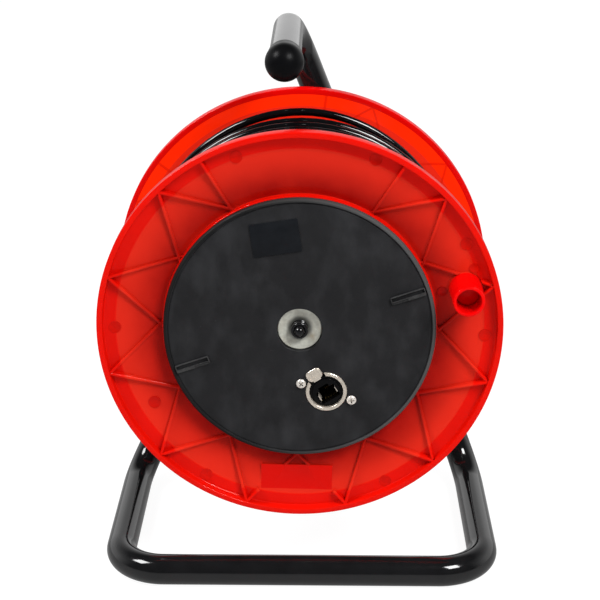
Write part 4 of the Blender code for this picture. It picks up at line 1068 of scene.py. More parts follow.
@dataclass
class Stand(Assembly):
    """Bent tube stand with its handle cap and the plate that carries the axle."""

    tube_r: float = 0.009
    bend_r: float = 0.028
    base_half: float = 0.1095
    bar_depth: float = -0.0052
    leg_depth: float = 0.137
    left_lean: float = math.radians(27.5)
    handle: tuple[float, float] = (-0.0091, 0.3101)
    handle_end: float = 0.0113
    cap_r: float = 0.01065
    cap_centre: float = 0.0071
    skirt_r: float = 0.0099
    spigot_r: float = 0.0069
    wall_bore: tuple[float, float, float] = (0.0075, -0.005, 0.013)
    plate: tuple[float, float, float] = (0.125, 0.0027, 0.016)
    axle_r: float = 0.005

    def slopes(self) -> tuple[float, float]:
        """How far the left and the right leg move inwards for each metre up."""
        right = (self.base_half - self.handle[0]) / (self.handle[1] - self.tube_r)
        return math.tan(self.left_lean), right

    def centreline(self) -> list[Vector]:
        """Corners of the tube's centreline in the frame, from the handle's end to the left leg's top.

        Returns:
            The corners.
        """
        front = REEL.translation.y
        rear, bar = front + self.leg_depth, front + self.bar_depth
        left, right = self.slopes()
        meeting = 2 * self.base_half / (left + right)
        top = Vector((left * meeting - self.base_half, rear, self.tube_r + meeting))
        x, z = self.handle
        half, low = self.base_half, self.tube_r
        return [Vector((x, front + self.handle_end, z)), Vector((x, rear, z)), Vector((half, rear, low)),
                Vector((half, bar, low)), Vector((-half, bar, low)), Vector((-half, rear, low)), top]

    def bead(self, corners: Sequence[Vector]) -> bpy.types.Mesh:
        """Uneven weld bead where the left leg meets the right one.

        Args:
            corners: Corners of the tube's centreline.

        Returns:
            The mesh of the bead.
        """
        shape = bmesh.new()
        bmesh.ops.create_uvsphere(shape, u_segments=40, v_segments=24, radius=self.tube_r * 1.04)
        along = (corners[-1] - corners[-2]).normalized()
        for vert in shape.verts:
            ripple = 1.0 + 0.02 * math.sin(vert.co.x * 2400.0) + 0.02 * math.sin(vert.co.z * 3100.0)
            vert.co = Vector((vert.co.x * ripple, vert.co.y * 0.97, vert.co.z * ripple))
        bead = close_up("bead", shape)
        return moved(bead, Matrix.Translation(corners[-1] - along * self.tube_r))

    def build(self) -> None:
        """Make the tube, its cap and the axle's plate."""
        corners = self.centreline()
        bar = tube("stand", bent(corners, self.bend_r, 20), self.tube_r, 48)
        end = moved(peg(*self.wall_bore, 48), Matrix.Translation(corners[0]))
        mesh = combined(bar, [(Join.CUT, end), (Join.ADD, self.bead(corners))], 50.0)
        self.add("stand_tube_coated", mesh, BLACK_COAT, Body.STAND, "black_paint", ["stand_tube"],
                 Matrix.Identity(4))
        self.cap()
        self.axle_plate()

    def cap(self) -> None:
        """Ball-ended cap on the handle."""
        ball = [(self.cap_r * math.sin(a), self.cap_centre - self.cap_r * math.cos(a))
                for a in np.radians(np.arange(0, 111, 6))]
        inner, deep = self.tube_r + 0.0002, self.handle_end - GAP
        outer, spigot = self.skirt_r, self.spigot_r
        skirt = [(outer, 0.0118), (outer, 0.0196), (outer - GAP, 0.0204), (inner, 0.0205), (inner, deep),
                 (spigot, deep), (spigot, 0.0220), (spigot - 0.0007, 0.0228), (0.0, 0.0228)]
        x, z = self.handle
        at = Matrix.Translation((x, REEL.translation.y, z))
        mesh = lathe("cap", ball + skirt, 64)
        self.add("handle_cap_moulded", mesh, BLACK_CAP, Body.STAND, "black_plastic", ["handle_cap"], at)

    def axle_plate(self) -> None:
        """Flat plate across the legs, with the axle's hole."""
        depth, wall, half = self.plate
        left, right = self.slopes()
        axle = REEL.translation
        corners = []
        for height in (-half, half):
            rise = axle.z + height - self.tube_r
            ends = [(left * rise - self.base_half - axle.x, height),
                    (self.base_half - right * rise - axle.x, height)]
            corners += ends if height < 0 else ends[::-1]
        hole = peg(self.axle_r + GAP, depth - PAST, depth + PAST, 48)
        mesh = combined(prism("plate", corners, depth, depth + wall, 0.0006), [(Join.CUT, hole)])
        self.add("axle_plate_coated", mesh, BLACK_COAT, Body.STAND, "black_paint", ["axle_plate"])


@dataclass
class Axle(Assembly):
    """Axle with its washer and collar at the front, and its nut behind the plate."""

    axle_r: float = 0.005
    stud_r: float = 0.0031
    tip: float = -0.0026
    shoulder_r: float = 0.008
    washer_back: float = 0.0075
    washer_wall: float = 0.0012
    washer_r: float = 0.0125
    washer_flat_r: float = 0.0055
    collar: tuple[float, float, float] = (0.0050, 0.0045, 0.0054)
    plate: float = 0.125
    rear_length: float = 0.0135
    thread_pitch: float = 0.0011
    thread_depth: float = 0.0004
    nut_washer: tuple[float, float] = (0.0095, 0.0015)
    nut_r: float = 0.0098
    nut_height: float = 0.0070
    spacer: tuple[float, float] = (0.0080, 0.1166)

    def build(self) -> None:
        """Make the axle and everything on it."""
        self.rod()
        self.front()
        self.rear()

    def rod(self) -> None:
        """Rod with a domed stud, a shoulder and a threaded rear end."""
        stud, step = self.stud_r, self.washer_back + GAP
        nose = [(0.0, self.tip), (0.0014, self.tip + 0.0002, 0.0008), (0.0026, self.tip + 0.0012, 0.0010),
                (stud, self.tip + 0.0030, 0.0010), (stud, step, 0.0002)]
        shoulder, collar = self.shoulder_r, self.plate - GAP
        rear = self.plate + self.rear_length
        core = self.axle_r - self.thread_depth
        body = [(self.axle_r, step, 0.0002), (self.axle_r, collar - 0.004), (shoulder, collar - 0.004),
                (shoulder, collar), (self.axle_r, collar), (self.axle_r, self.plate + 0.0035, 0.0002),
                (core, self.plate + 0.004), (core, rear - 0.0006, 0.0003), (core - 0.0007, rear),
                (0.0, rear)]
        ridge = thread("axle_thread", core, 0.00034, self.plate + 0.0042, rear - 0.0008, self.thread_pitch,
                       BLACK_COAT)
        mesh = merged("axle", [lathe("rod", soften(nose + body, 0.0004), 64), ridge])
        self.add("axle_turned", mesh, BLACK_COAT, Body.STAND, "black_paint", ["axle"])

    def front(self) -> None:
        """Dished washer with a small nick in its edge, and the black collar before it."""
        bore, back, wall = self.stud_r + GAP, self.washer_back, self.washer_wall
        rim, flat = self.washer_r, self.washer_flat_r
        dish = [(bore, back), (bore, back - wall), (flat, back - wall, 0.001),
                (rim - 0.0008, back - wall - 0.0017, 0.0002), (rim - 0.0006, back - wall - 0.0018, 0.0002),
                (rim, back - wall - 0.0017, 0.0004), (rim, back - 0.0016, 0.0003),
                (rim - 0.001, back - 0.0016, 0.0003), (flat + 0.0011, back, 0.001)]
        nick = moved(peg(0.0007, -PAST, PAST, 16), place(*polar(rim + 0.0003, math.radians(67.0))))
        washer = combined(lathe("washer", soften(dish, 0.0002), 96), [(Join.CUT, nick)])
        self.add("axle_washer_plated", washer, ZINC, Body.STAND, "zinc", ["axle_washer"])
        outer, groove, length = self.collar
        back = self.washer_back - wall - GAP
        front = back - length
        grip = [(bore, back), (bore, front, 0.0003), (outer - 0.0005, front, 0.0004),
                (outer, front + 0.0007, 0.0004), (outer, front + 0.0017, 0.0002),
                (groove, front + 0.0020, 0.0002), (groove, front + 0.0025, 0.0002),
                (outer, front + 0.0028, 0.0002), (outer, front + 0.0038, 0.0002),
                (groove, front + 0.0041, 0.0002), (groove, front + 0.0045, 0.0002),
                (outer, front + 0.0048, 0.0002), (outer, back, 0.0002)]
        self.add("axle_retainer_pressed", lathe("collar", soften(grip, 0.0002), 64), BLACK_COAT,
                 Body.STAND, "black_paint", ["axle_retainer"])

    def rear(self) -> None:
        """Flat washer and chamfered nut behind the plate, and the spacer before it."""
        low = self.plate + 0.003
        bore = self.axle_r + GAP
        radius, wall = self.nut_washer
        flat = washer_section(bore, radius, low, low + wall)
        self.add("axle_nut_washer_plated", lathe("flat", soften(flat, 0.0003), 64), ZINC, Body.STAND,
                 "zinc", ["axle_nut_washer"])
        start = low + wall + GAP
        end = start + self.nut_height
        hexagon = [polar(self.nut_r, math.radians(60 * k)) for k in range(6)]
        widest = self.nut_r + 0.0002
        cone = [(0.0, start - 0.001), (self.nut_r - 0.0006, start - 0.0003), (widest, start + 0.001),
                (widest, end - 0.001), (self.nut_r - 0.0010, end + 0.0001), (0.0, end + 0.0001)]
        hole = [(0.0, low), (bore, low), (bore, end - 0.0006), (bore + 0.0008, end + 0.0003),
                (bore + 0.0008, end + PAST), (0.0, end + PAST)]
        nut = combined(prism("nut", hexagon, start, end),
                       [(Join.SHARE, lathe("cone", cone, 64)), (Join.CUT, lathe("bore", hole, 48))])
        self.add("axle_nut_plated", nut, ZINC, Body.STAND, "zinc", ["axle_nut"])
        radius, front = self.spacer
        ring = washer_section(bore, radius, front, self.plate - 0.0046)
        self.add("axle_spacer_moulded", lathe("spacer", soften(ring, 0.0004), 64), NYLON, Body.STAND,
                 "nylon", ["axle_spacer"])


@dataclass
class Flange(Assembly):
    """Ribbed red flange, drawn as the front one; the rear one is its mirror image."""

    name: str = "front_flange"
    finish: Finish = RED_FLANGE
    hub: Hub = Hub.CUP
    turn: float = FRONT_TURN
    rim_r: float = 0.115
    rim_wall: float = 0.0033
    rim_depth: float = 0.008
    web: float = 0.002
    band_r: float = BAND_R
    band_depth: float = 0.0060
    lip: tuple[float, float, float] = (0.0765, 0.0779, 0.00505)
    hub_depth: float = 0.010
    cup: tuple[float, float, float, float] = (0.0731, 0.0026, 0.052, 0.0545)
    boss: tuple[float, float] = (0.010, 0.0066)
    cup_front: float = 0.0081
    closed_front: tuple[float, float] = (0.0057, 0.0095)
    closed_skirt: float = 0.010
    dish_power: float = 1.35
    rib_bays: int = 12
    rib_wall: float = 0.0016
    rib_r: tuple[float, float] = RIB_R
    rib_front: tuple[float, float] = (0.0078, 0.0009)
    pad: tuple[float, float, float] = PAD
    pad_depth: tuple[float, float] = (0.0065, 0.0092)
    smooth_panel: float = math.radians(60.0)
    clamp: tuple[float, float, float, float] = (-0.025, -0.025, math.radians(223.0), 0.0065)
    lead_hole: tuple[float, float] = (math.radians(162.0), 0.017)
    lead_drill: tuple[float, float, float] = (0.003, 0.060, 0.0745)
    tie_hole: float = 0.0023
    clamp_hole: float = 0.0015
    cup_drill: tuple[float, float] = (0.049, 0.058)
    closed_drill: tuple[float, float] = (0.0075, 0.0145)
    knob_stub: tuple[float, float, float] = (0.0042, 0.0093, 0.0098)
    knob_room: tuple[float, float] = (0.0097, 0.0026)
    drum_width: float = 0.120
    marks: tuple[tuple[float, float, float], ...] = ()

    def web_depth(self, radius: float) -> float:
        """Depth of the dished web's front at a radius."""
        share = min(max((self.band_r - radius) / (self.band_r - self.lip[1]), 0.0), 1.0)
        return self.band_depth + (self.hub_depth - self.band_depth) * share ** self.dish_power

    def section(self) -> list[tuple[float, float]]:
        """Section of the whole flange.

        Returns:
            The (radius, depth) points.
        """
        inner, outer, front = self.lip
        rim_in = self.rim_r - self.rim_wall
        dish = [(r, self.web_depth(r), 0.0) for r in np.linspace(outer + 0.0018, self.band_r, 14)]
        back = [(r, self.web_depth(r) + self.web, 0.0) for r in np.linspace(self.band_r, outer, 12)]
        edge = [(inner, front, 0.0003), (outer, front, 0.0004), (outer, self.hub_depth, 0.0014),
                *dish, (self.band_r + 0.0004, self.band_depth - 0.0002, 0.0003),
                (rim_in, self.band_depth - 0.0003, 0.0009), (rim_in, 0.0, 0.0005),
                (self.rim_r, 0.0, 0.0006), (self.rim_r, self.rim_depth, 0.0006),
                (rim_in, self.rim_depth, 0.0008), *back]
        return soften(edge + self.hub_section(), 0.0003)

    def hub_section(self) -> list[tuple[float, float]]:
        """Section of the hub: a deep cup, or a shallow closed disc, about a boss.

        Returns:
            The (radius, depth, fillet) corners.
        """
        back = self.hub_depth + self.web
        cup, wall, floor, end = self.cup
        boss, bore = self.boss
        if self.hub is Hub.CUP:
            front, face = self.cup_front, self.hub_depth
            return [(cup, back), (cup, end), (bore, end), (bore, front), (boss, front), (boss, floor),
                    (cup - wall, floor, 0.002), (cup - wall, face), (self.lip[0], face)]
        end = back + self.closed_skirt
        front, face = self.closed_front
        return [(cup, back), (cup, end), (cup - wall, end), (cup - wall, back), (bore, back),
                (bore, front), (boss, front), (boss, face, 0.001), (self.lip[0], face, 0.001)]

    def rib_lines(self) -> list[tuple[Vector, Vector]]:
        """Ends of each rib: a zigzag between hub and rim that the label pad interrupts.

        Returns:
            Inner and outer end of each rib.
        """
        step = math.tau / self.rib_bays
        first = math.pi / 2 + self.smooth_panel / 2 + self.turn
        last = math.pi / 2 - self.smooth_panel / 2 + math.tau + self.turn
        lines = [(first, first), (last, last)]
        for bay in range(round((last - first) / step)):
            tip = first + (bay + 0.5) * step
            lines += [(tip - step / 2, tip), (tip + step / 2, tip)]
        runs = []
        down = Vector(polar(1.0, self.turn - math.pi / 2))
        width, pad_in, pad_out = self.pad
        for start_angle, end_angle in lines:
            inner = Vector(polar(self.rib_r[0], start_angle))
            outer = Vector(polar(self.rib_r[1], end_angle))
            along = (outer - inner).normalized()
            inner, outer = inner - along * 0.0024, outer + along * 0.0010
            start, end = inner.dot(down), outer.dot(down)
            if start < 0 or abs(((inner + outer) / 2).dot(down.orthogonal())) > width / 2:
                runs.append((inner, outer))
                continue
            runs.append((inner, inner.lerp(outer, (pad_in + 0.0004 - start) / (end - start))))
            runs.append((inner.lerp(outer, (pad_out - 0.0004 - start) / (end - start)), outer))
        return runs

    def ribs(self) -> bpy.types.Mesh:
        """The ribs, made by Geometry Nodes from their middles, turns and lengths.

        Returns:
            The mesh of all ribs.
        """
        runs = self.rib_lines()
        middles = [((a + b) / 2).to_3d().xzy for a, b in runs]
        turns = [math.atan2((b - a).y, (b - a).x) for a, b in runs]
        lengths = [(b - a).length for a, b in runs]
        tree = GeometryTree(self.name + "_ribs", {
            "Wall": self.rib_wall, "Hub Radius": self.rib_r[0], "Rim Radius": self.rib_r[1],
            "Hub Front": self.rib_front[0], "Rim Front": self.rib_front[1], "Band Radius": self.band_r,
            "Lip Radius": self.lip[1], "Band Depth": self.band_depth, "Hub Depth": self.hub_depth,
            "Dish Power": self.dish_power, "Root": self.web * 0.6, "Crown": 0.0003})
        sizes = tree.inputs
        block = tree.node("GeometryNodeMeshCube", {
            "Size": (1.0, 1.0, 1.0), "Vertices X": 16, "Vertices Y": 2, "Vertices Z": 5}).outputs[0]
        local = tree.node("GeometryNodeInputPosition").outputs[0]
        across = tree.axes(local)["Z"]
        block = tree.node("GeometryNodeStoreNamedAttribute", {
            "Geometry": block, "Name": "across", "Value": across}, data_type="FLOAT").outputs[0]
        scale = tree.node("ShaderNodeCombineXYZ", {
            "X": tree.attribute("length"), "Y": 0.01, "Z": sizes["Wall"]}).outputs[0]
        turned = tree.math("MULTIPLY", tree.attribute("turn"), -1.0)
        bars = tree.copies(block, turned, scale)
        position = tree.node("GeometryNodeInputPosition").outputs[0]
        parts = tree.axes(position)
        radius = tree.radius(position)
        front = tree.span(radius, sizes["Hub Radius"], sizes["Rim Radius"], sizes["Hub Front"],
                          sizes["Rim Front"])
        crown = tree.math("MULTIPLY", tree.math("POWER", tree.math("MULTIPLY", tree.math(
            "ABSOLUTE", tree.attribute("across")), 2.0), 3.0), sizes["Crown"])
        share = tree.span(radius, sizes["Band Radius"], sizes["Lip Radius"])
        bowl = tree.math("MULTIPLY", tree.math("POWER", share, sizes["Dish Power"]),
                         tree.math("SUBTRACT", sizes["Hub Depth"], sizes["Band Depth"]))
        root = tree.math("ADD", tree.math("ADD", bowl, sizes["Band Depth"]), sizes["Root"])
        behind = tree.math("GREATER_THAN", parts["Y"], 0.0)
        depth = tree.node("ShaderNodeMix", {0: behind, 2: tree.math("ADD", front, crown), 3: root},
                          data_type="FLOAT").outputs[0]
        target = tree.node("ShaderNodeCombineXYZ", {"X": parts["X"], "Y": depth, "Z": parts["Z"]}).outputs[0]
        shaped = tree.node("GeometryNodeSetPosition", {"Geometry": bars, "Position": target}).outputs[0]
        carrier = points_mesh(self.name + "_ribs", middles, turn=turns, length=lengths)
        return tree.run(shaped, carrier, self.finish)

    def label_pad(self) -> bpy.types.Mesh:
        """Flat pad near the rim, opposite the smooth panel.

        Returns:
            The mesh of the pad.
        """
        width, low, high = self.pad
        pad = prism("pad", rounded_box(width, high - low, 0.0006, 3), *self.pad_depth, 0.0003)
        down = self.turn - math.pi / 2
        return moved(pad, place(*polar((low + high) / 2, down), down + math.pi / 2))

    def knob_seat(self) -> list[tuple[Join, bpy.types.Mesh]]:
        """Room, raised seat and stub for the winding knob.

        Returns:
            The cuts and the stub, in order.
        """
        at = place(*polar(*KNOB_AT))
        stub_r, seat_r, root_r = self.knob_stub
        stub = [(0.0, GAP), (stub_r, GAP, 0.0004), (stub_r, 0.0059, 0.0003), (seat_r, 0.0059, 0.0003),
                (seat_r, 0.0070, 0.0004), (root_r, 0.0078), (root_r, 0.0090), (0.0, 0.0090)]
        room_r, bore_r = self.knob_room
        return [(Join.CUT, moved(peg(room_r, -PAST, 0.0062, 64), at)),
                (Join.ADD, moved(lathe("stub", soften(stub), 64), at)),
                (Join.CUT, moved(peg(bore_r, -PAST, 0.0083, 32), at))]

    def holes(self) -> list[tuple[Join, bpy.types.Mesh]]:
        """Holes of the tie screws, and in the cup those of the lead and its clamp.

        Returns:
            The cuts.
        """
        low, high = self.cup_drill if self.hub is Hub.CUP else self.closed_drill
        steps = [moved(peg(self.tie_hole, low, high), place(*polar(TIE_R, angle))) for angle in TIE_ANGLES]
        if self.hub is Hub.CUP:
            clamp_x, clamp_z, lean, reach = self.clamp
            for side in (-reach, reach):
                x, z = polar(side, lean)
                steps.append(moved(peg(self.clamp_hole, low, high), place(x + clamp_x, z + clamp_z)))
            drill = moved(peg(*self.lead_drill), Matrix.Rotation(math.radians(-90.0), 4, "Z"))
            steps.append(moved(drill, place(0.0, 0.0, *self.lead_hole)))
        return [(Join.CUT, step) for step in steps]

    def ejector_marks(self) -> None:
        """Round marks that the mould's pins left on the web."""
        ring = [(0.0, 0.00006), (0.86, 0.00006), (0.92, -0.00004), (0.99, -0.00004), (1.0, 0.0010),
                (0.0, 0.0010)]
        meshes = []
        for size in sorted({mark[2] for mark in self.marks}):
            chosen = [mark for mark in self.marks if mark[2] == size]
            spots = []
            for radius, angle, _ in chosen:
                x, z = polar(radius, math.radians(angle))
                highest = self.web_depth(radius + size)
                spots.append((x, highest - 0.0003 * (radius + size > self.band_r), z))
            profile = [(radius * size, depth - 0.0001) for radius, depth in ring]
            meshes.append(repeated("marks", lathe("mark", profile, 40), spots, RED_MARK))
        self.add(self.name + "_pin_marks", merged("marks", meshes), RED_MARK, Body.DRUM, "red_plastic")

    def build(self) -> None:
        """Make the flange as one moulding, and its pin marks."""
        steps = [(Join.ADD, merged("relief", [self.ribs(), self.label_pad()])), *self.holes()]
        if self.hub is Hub.CUP:
            steps += self.knob_seat()
        mesh = combined(lathe(self.name, self.section(), 192), steps)
        if self.hub is Hub.CLOSED:
            moved(mesh, Matrix.Translation((0.0, self.drum_width, 0.0)) @ MIRROR)
        self.add(self.name + "_moulding", mesh, self.finish, Body.DRUM, "red_plastic", [self.name])
        if self.marks:
            self.ejector_marks()


@dataclass
class HubCover(Assembly):
    """Black cover over the hub with its finger grips, and the bare label on it."""

    cover_r: float = 0.0774
    face: float = 0.00175
    wall: float = 0.003
    bore: float = 0.0128
    collar: tuple[float, float] = (0.0013, 0.0080)
    skirt: tuple[float, float, float] = (0.0012, 0.002, 0.0088)
    grip: tuple[float, float, float] = (0.0200, 0.0046, 0.0645)
    grip_turn: float = math.radians(18.9)
    grip_rise: float = 0.0016
    label: tuple[float, float] = (0.0273, 0.0193)
    label_at: tuple[float, float] = (-0.0134, 0.0546)
    label_tilt: float = math.radians(8.7)

    def disc(self) -> bpy.types.Mesh:
        """The disc with its raised edge and skirt.

        Returns:
            The mesh of the disc.
        """
        back, edge, rim = self.face + self.wall, self.face - 0.0004, self.cover_r
        inset, thick, foot = self.skirt
        outer = rim - inset
        collar, deep = self.collar
        profile = [(self.bore, self.face, 0.0005), (rim - 0.0031, self.face, 0.0001),
                   (rim - 0.0030, self.face + 0.0005, 0.0001), (rim - 0.0022, self.face + 0.0005, 0.0001),
                   (rim - 0.0021, edge, 0.0002), (rim - 0.0009, edge, 0.0003), (rim, edge + 0.0012, 0.0004),
                   (rim, back), (outer, back), (outer, foot), (outer - thick, foot), (outer - thick, back),
                   (self.bore + collar, back), (self.bore + collar, deep), (self.bore, deep)]
        return lathe("hub_cover", soften(profile, 0.0002), 192)

    def grips(self) -> list[tuple[Join, bpy.types.Mesh]]:
        """Two finger grips: raised blocks with a sunk top and a stepped lower side.

        Returns:
            The blocks and cuts, in order.
        """
        length, width, radius = self.grip
        top = self.face - self.grip_rise
        steps = []
        for turn, flip in ((self.grip_turn, 1), (self.grip_turn + math.pi, -1)):
            at = place(*polar(radius, turn), turn)
            block = prism("grip", rounded_box(length, width, 0.0007), top, self.face + 0.001, 0.00025)
            pocket = prism("pocket", rounded_box(length - 0.0009, width * 0.50, 0.0004), top - 0.001,
                           self.face - 0.0003)
            ledge = prism("ledge", rounded_box(length * 0.46, width * 0.36, 0.0003), top - 0.001,
                          top + self.grip_rise * 0.45)
            upper = at @ Matrix.Translation((0.0, 0.0, flip * width * 0.16))
            side = at @ Matrix.Translation((-length * 0.26, 0.0, -flip * width * 0.36))
            steps += [(Join.ADD, moved(block, at)), (Join.CUT, moved(pocket, upper)),
                      (Join.CUT, moved(ledge, side))]
        return steps

    def build(self) -> None:
        """Make the cover with the socket's openings, and the label."""
        socket = Socket()
        at = socket.place()
        steps = self.grips()
        steps.append((Join.CUT, moved(peg(socket.ring_r + GAP, -PAST, 2 * PAST, 96), at)))
        steps += [(Join.CUT, moved(peg(socket.screw_hole, -PAST, 2 * PAST, 32), at @ place(*spot)))
                  for spot in socket.holes]
        mesh = combined(self.disc(), steps)
        self.add("hub_cover_moulded", mesh, BLACK_HUB, Body.DRUM, "black_plastic", ["hub_cover"])
        label = prism("label", rounded_box(*self.label, 0.0008), self.face - 0.0005, self.face - 0.0002,
                      0.00008)
        self.add("blank_label_film", moved(label, place(*self.label_at, self.label_tilt)), LABEL_FACE,
                 Body.DRUM, "black_gloss", ["blank_label"])


@dataclass
class Socket(Assembly):
    """Round network socket with its latch tab and screws, in the hub cover."""

    at: tuple[float, float] = (0.0153, -0.0374)
    turn: float = math.radians(32.5)
    ring_r: float = 0.0118
    ring_bore: float = 0.0097
    opening: tuple[float, float, float] = (0.0120, 0.0078, 0.0019)
    latch: tuple[float, float, float] = (0.0092, 0.0066, 0.0131)
    latch_front: float = -0.0007
    stem: float = 0.0039
    holes: tuple[tuple[float, float], ...] = ((-0.0095, 0.0120), (0.0095, -0.0120))
    plate: tuple[float, float, float] = (0.026, 0.031, 0.003)
    plate_depth: tuple[float, float] = (0.00505, 0.00705)
    insert_depths: tuple[float, float, float] = (0.0019, 0.0027, 0.026)
    notch: tuple[float, float] = (0.0064, 0.0040)
    spring: tuple[float, float] = (0.0005, 0.0034)
    spring_depth: tuple[float, float] = (0.0023, 0.0090)
    wire: tuple[float, float, float] = (0.00045, 0.0005, 0.0125)
    back: float = 0.029
    screw_hole: float = 0.0015
    screw: tuple[float, float, float, float] = (0.00285, 0.0015, 0.0012, 0.0100)
    screw_seat: float = 0.00145
    screw_turns: tuple[float, float] = (0.3, 1.1)
    wire_lean: float = math.radians(12.0)

    def place(self) -> Matrix:
        """Matrix from the socket's own place to the drum's."""
        return place(*self.at, self.turn)

    def fit(self, name: str, mesh: bpy.types.Mesh, finish: Finish, slot: str, replaces: Sequence[str],
            body: Body = Body.DRUM) -> None:
        """Add a piece that is drawn in the socket's own place."""
        self.add(name, mesh, finish, body, slot, replaces, REEL @ self.place())

    def build(self) -> None:
        """Make every piece of the socket."""
        self.housing()
        self.insert()
        self.metal()
        self.release()
        self.screws()

    def housing(self) -> None:
        """Plated housing: the ring, its plate behind the cover and the latch's slot."""
        ring, bore = self.ring_r, self.ring_bore
        barrel = [(bore, 0.0012, 0.0003), (bore + 0.0003, 0.0009, 0.0003), (ring - 0.0004, 0.0009, 0.0004),
                  (ring, 0.0014, 0.0004), (ring, 0.0070), (ring - 0.0005, 0.0070),
                  (ring - 0.0005, self.back), (bore, self.back)]
        plate = prism("plate", rounded_box(*self.plate), *self.plate_depth, 0.0003)
        width = self.latch[0] + 0.0010
        slot = prism("slot", rounded_box(width, 0.0046, 0.0004), -PAST, 0.0063)
        steps = [(Join.ADD, plate), (Join.CUT, peg(bore, -PAST, 4 * PAST, 96)),
                 (Join.CUT, moved(slot, place(0.0, 0.0106)))]
        steps += [(Join.CUT, moved(peg(self.screw_hole, 0.0, 0.009), place(*spot))) for spot in self.holes]
        mesh = combined(lathe("housing", soften(barrel, 0.0002), 96), steps)
        self.fit("socket_housing_plated", mesh, NICKEL, "nickel", ["socket_housing"])

    def insert(self) -> None:
        """Black insert with a rim groove, the jack's opening and its notch."""
        outer = self.ring_bore - GAP
        face, groove, end = self.insert_depths
        body = [(0.0, face), (outer - 0.0016, face, 0.0001), (outer - 0.0014, groove, 0.0001),
                (outer - 0.0003, groove, 0.0001), (outer, groove + 0.0004, 0.0002), (outer, end), (0.0, end)]
        width, height, drop = self.opening
        mouth = moved(prism("mouth", rounded_box(width, height, 0.0004), -PAST, 2 * PAST),
                      place(0.0, -drop))
        notch = prism("notch", rounded_box(*self.notch, 0.0003), -PAST, 0.012)
        mesh = combined(lathe("insert", soften(body, 0.0002), 96),
                        [(Join.CUT, mouth), (Join.CUT, moved(notch, place(0.0, height / 2 - drop)))])
        self.fit("socket_insert_moulded", mesh, BLACK_INSERT, "black_gloss", ["socket_insert"])

    def metal(self) -> None:
        """Contact wires on the opening's floor, and the shield springs at its sides."""
        width, height, drop = self.opening
        root = 0.00055 - drop - height / 2
        across, up, long = self.wire
        wire = moved(prism("wire", rounded_box(across, up, 0.00012, 2), 0.0, long, 0.00008),
                     Matrix.Rotation(self.wire_lean, 4, "X"))
        spots = [(x, 0.0060, root) for x in JACK_SPREAD]
        wires = repeated("contacts", wire, spots, GOLD)
        bar = prism("bar", rounded_box(JACK_WIRES * JACK_PITCH, 0.0007, 0.0001, 2), 0.0110, 0.0120)
        bar = moved(bar, Matrix.Translation((0.0, 0.006, root)) @ Matrix.Rotation(self.wire_lean, 4, "X"))
        self.fit("socket_contact_wires", merged("contacts", [wires, bar]), GOLD, "gold", ["socket_contacts"])
        for side, name in ((-1, "left_shield_spring"), (1, "right_shield_spring")):
            spring = prism("spring", rounded_box(*self.spring, 0.0002, 3), *self.spring_depth, 0.00012)
            spring = moved(spring, place(side * (width / 2 - 0.00055), -drop))
            self.fit(name + "_plated", spring, NICKEL, "nickel", [name])

    def release(self) -> None:
        """Release tab with a rolled lower edge, and its stem."""
        width, height, up = self.latch
        front = self.latch_front
        tab = prism("tab", rounded_box(width, height, 0.0025, 9), front, front + 0.0013, 0.0005, 4)
        edge = prism("edge", rounded_box(width * 0.52, 0.0013, 0.0004), front, front + 0.0016, 0.0003)
        stem = prism("stem", rounded_box(0.0050, 0.0013, 0.0002), 0.0, self.stem)
        dent = prism("dent", rounded_box(width - 0.0030, height - 0.0036, 0.0010), front - 0.001,
                     front + 0.00018)
        tab = moved(tab, place(0.0, up))
        steps = [(Join.ADD, moved(edge, place(0.0, up - height / 2 - 0.0001))),
                 (Join.ADD, moved(stem, place(0.0, 0.0108))), (Join.CUT, moved(dent, place(0.0, up)))]
        self.fit("latch_tab_plated", combined(tab, steps), NICKEL, "nickel", ["latch_tab"], Body.LATCH)

    def screws(self) -> None:
        """Two cross-head screws, repeated by Geometry Nodes."""
        spots = [(x, self.screw_seat, z) for x, z in self.holes]
        mesh = repeated("screws", cross_screw(*self.screw), spots, STEEL, self.screw_turns)
        self.fit("socket_screws_plated", mesh, STEEL, "steel", ["socket_screw_1", "socket_screw_2"])


def cross_screw(head_r: float, head: float, shank_r: float, length: float) -> bpy.types.Mesh:
    """Pan-head screw whose head stands forward of depth 0, with a tapered cross in it.

    Args:
        head_r: Radius of the head.
        head: Height of the head.
        shank_r: Radius of the shank.
        length: Length of the shank.

    Returns:
        The mesh of the screw.
    """
    round_off = head_r * 0.3
    profile = [(0.0, -head), (head_r * 0.55, -head, round_off), (head_r * 0.93, -head * 0.62, round_off),
               (head_r, 0.0, 0.0002), (shank_r, 0.0), (shank_r, length, 0.0003), (0.0, length)]
    slot = rounded_box(head_r * 1.15, head_r * 0.26, head_r * 0.06, 2)
    steps = [(Join.CUT, moved(prism("slot", slot, -head - 0.001, head * 0.30), place(0.0, 0.0, turn)))
             for turn in (0.0, math.pi / 2)]
    return combined(lathe("screw", soften(profile, 0.0002), 32), steps)


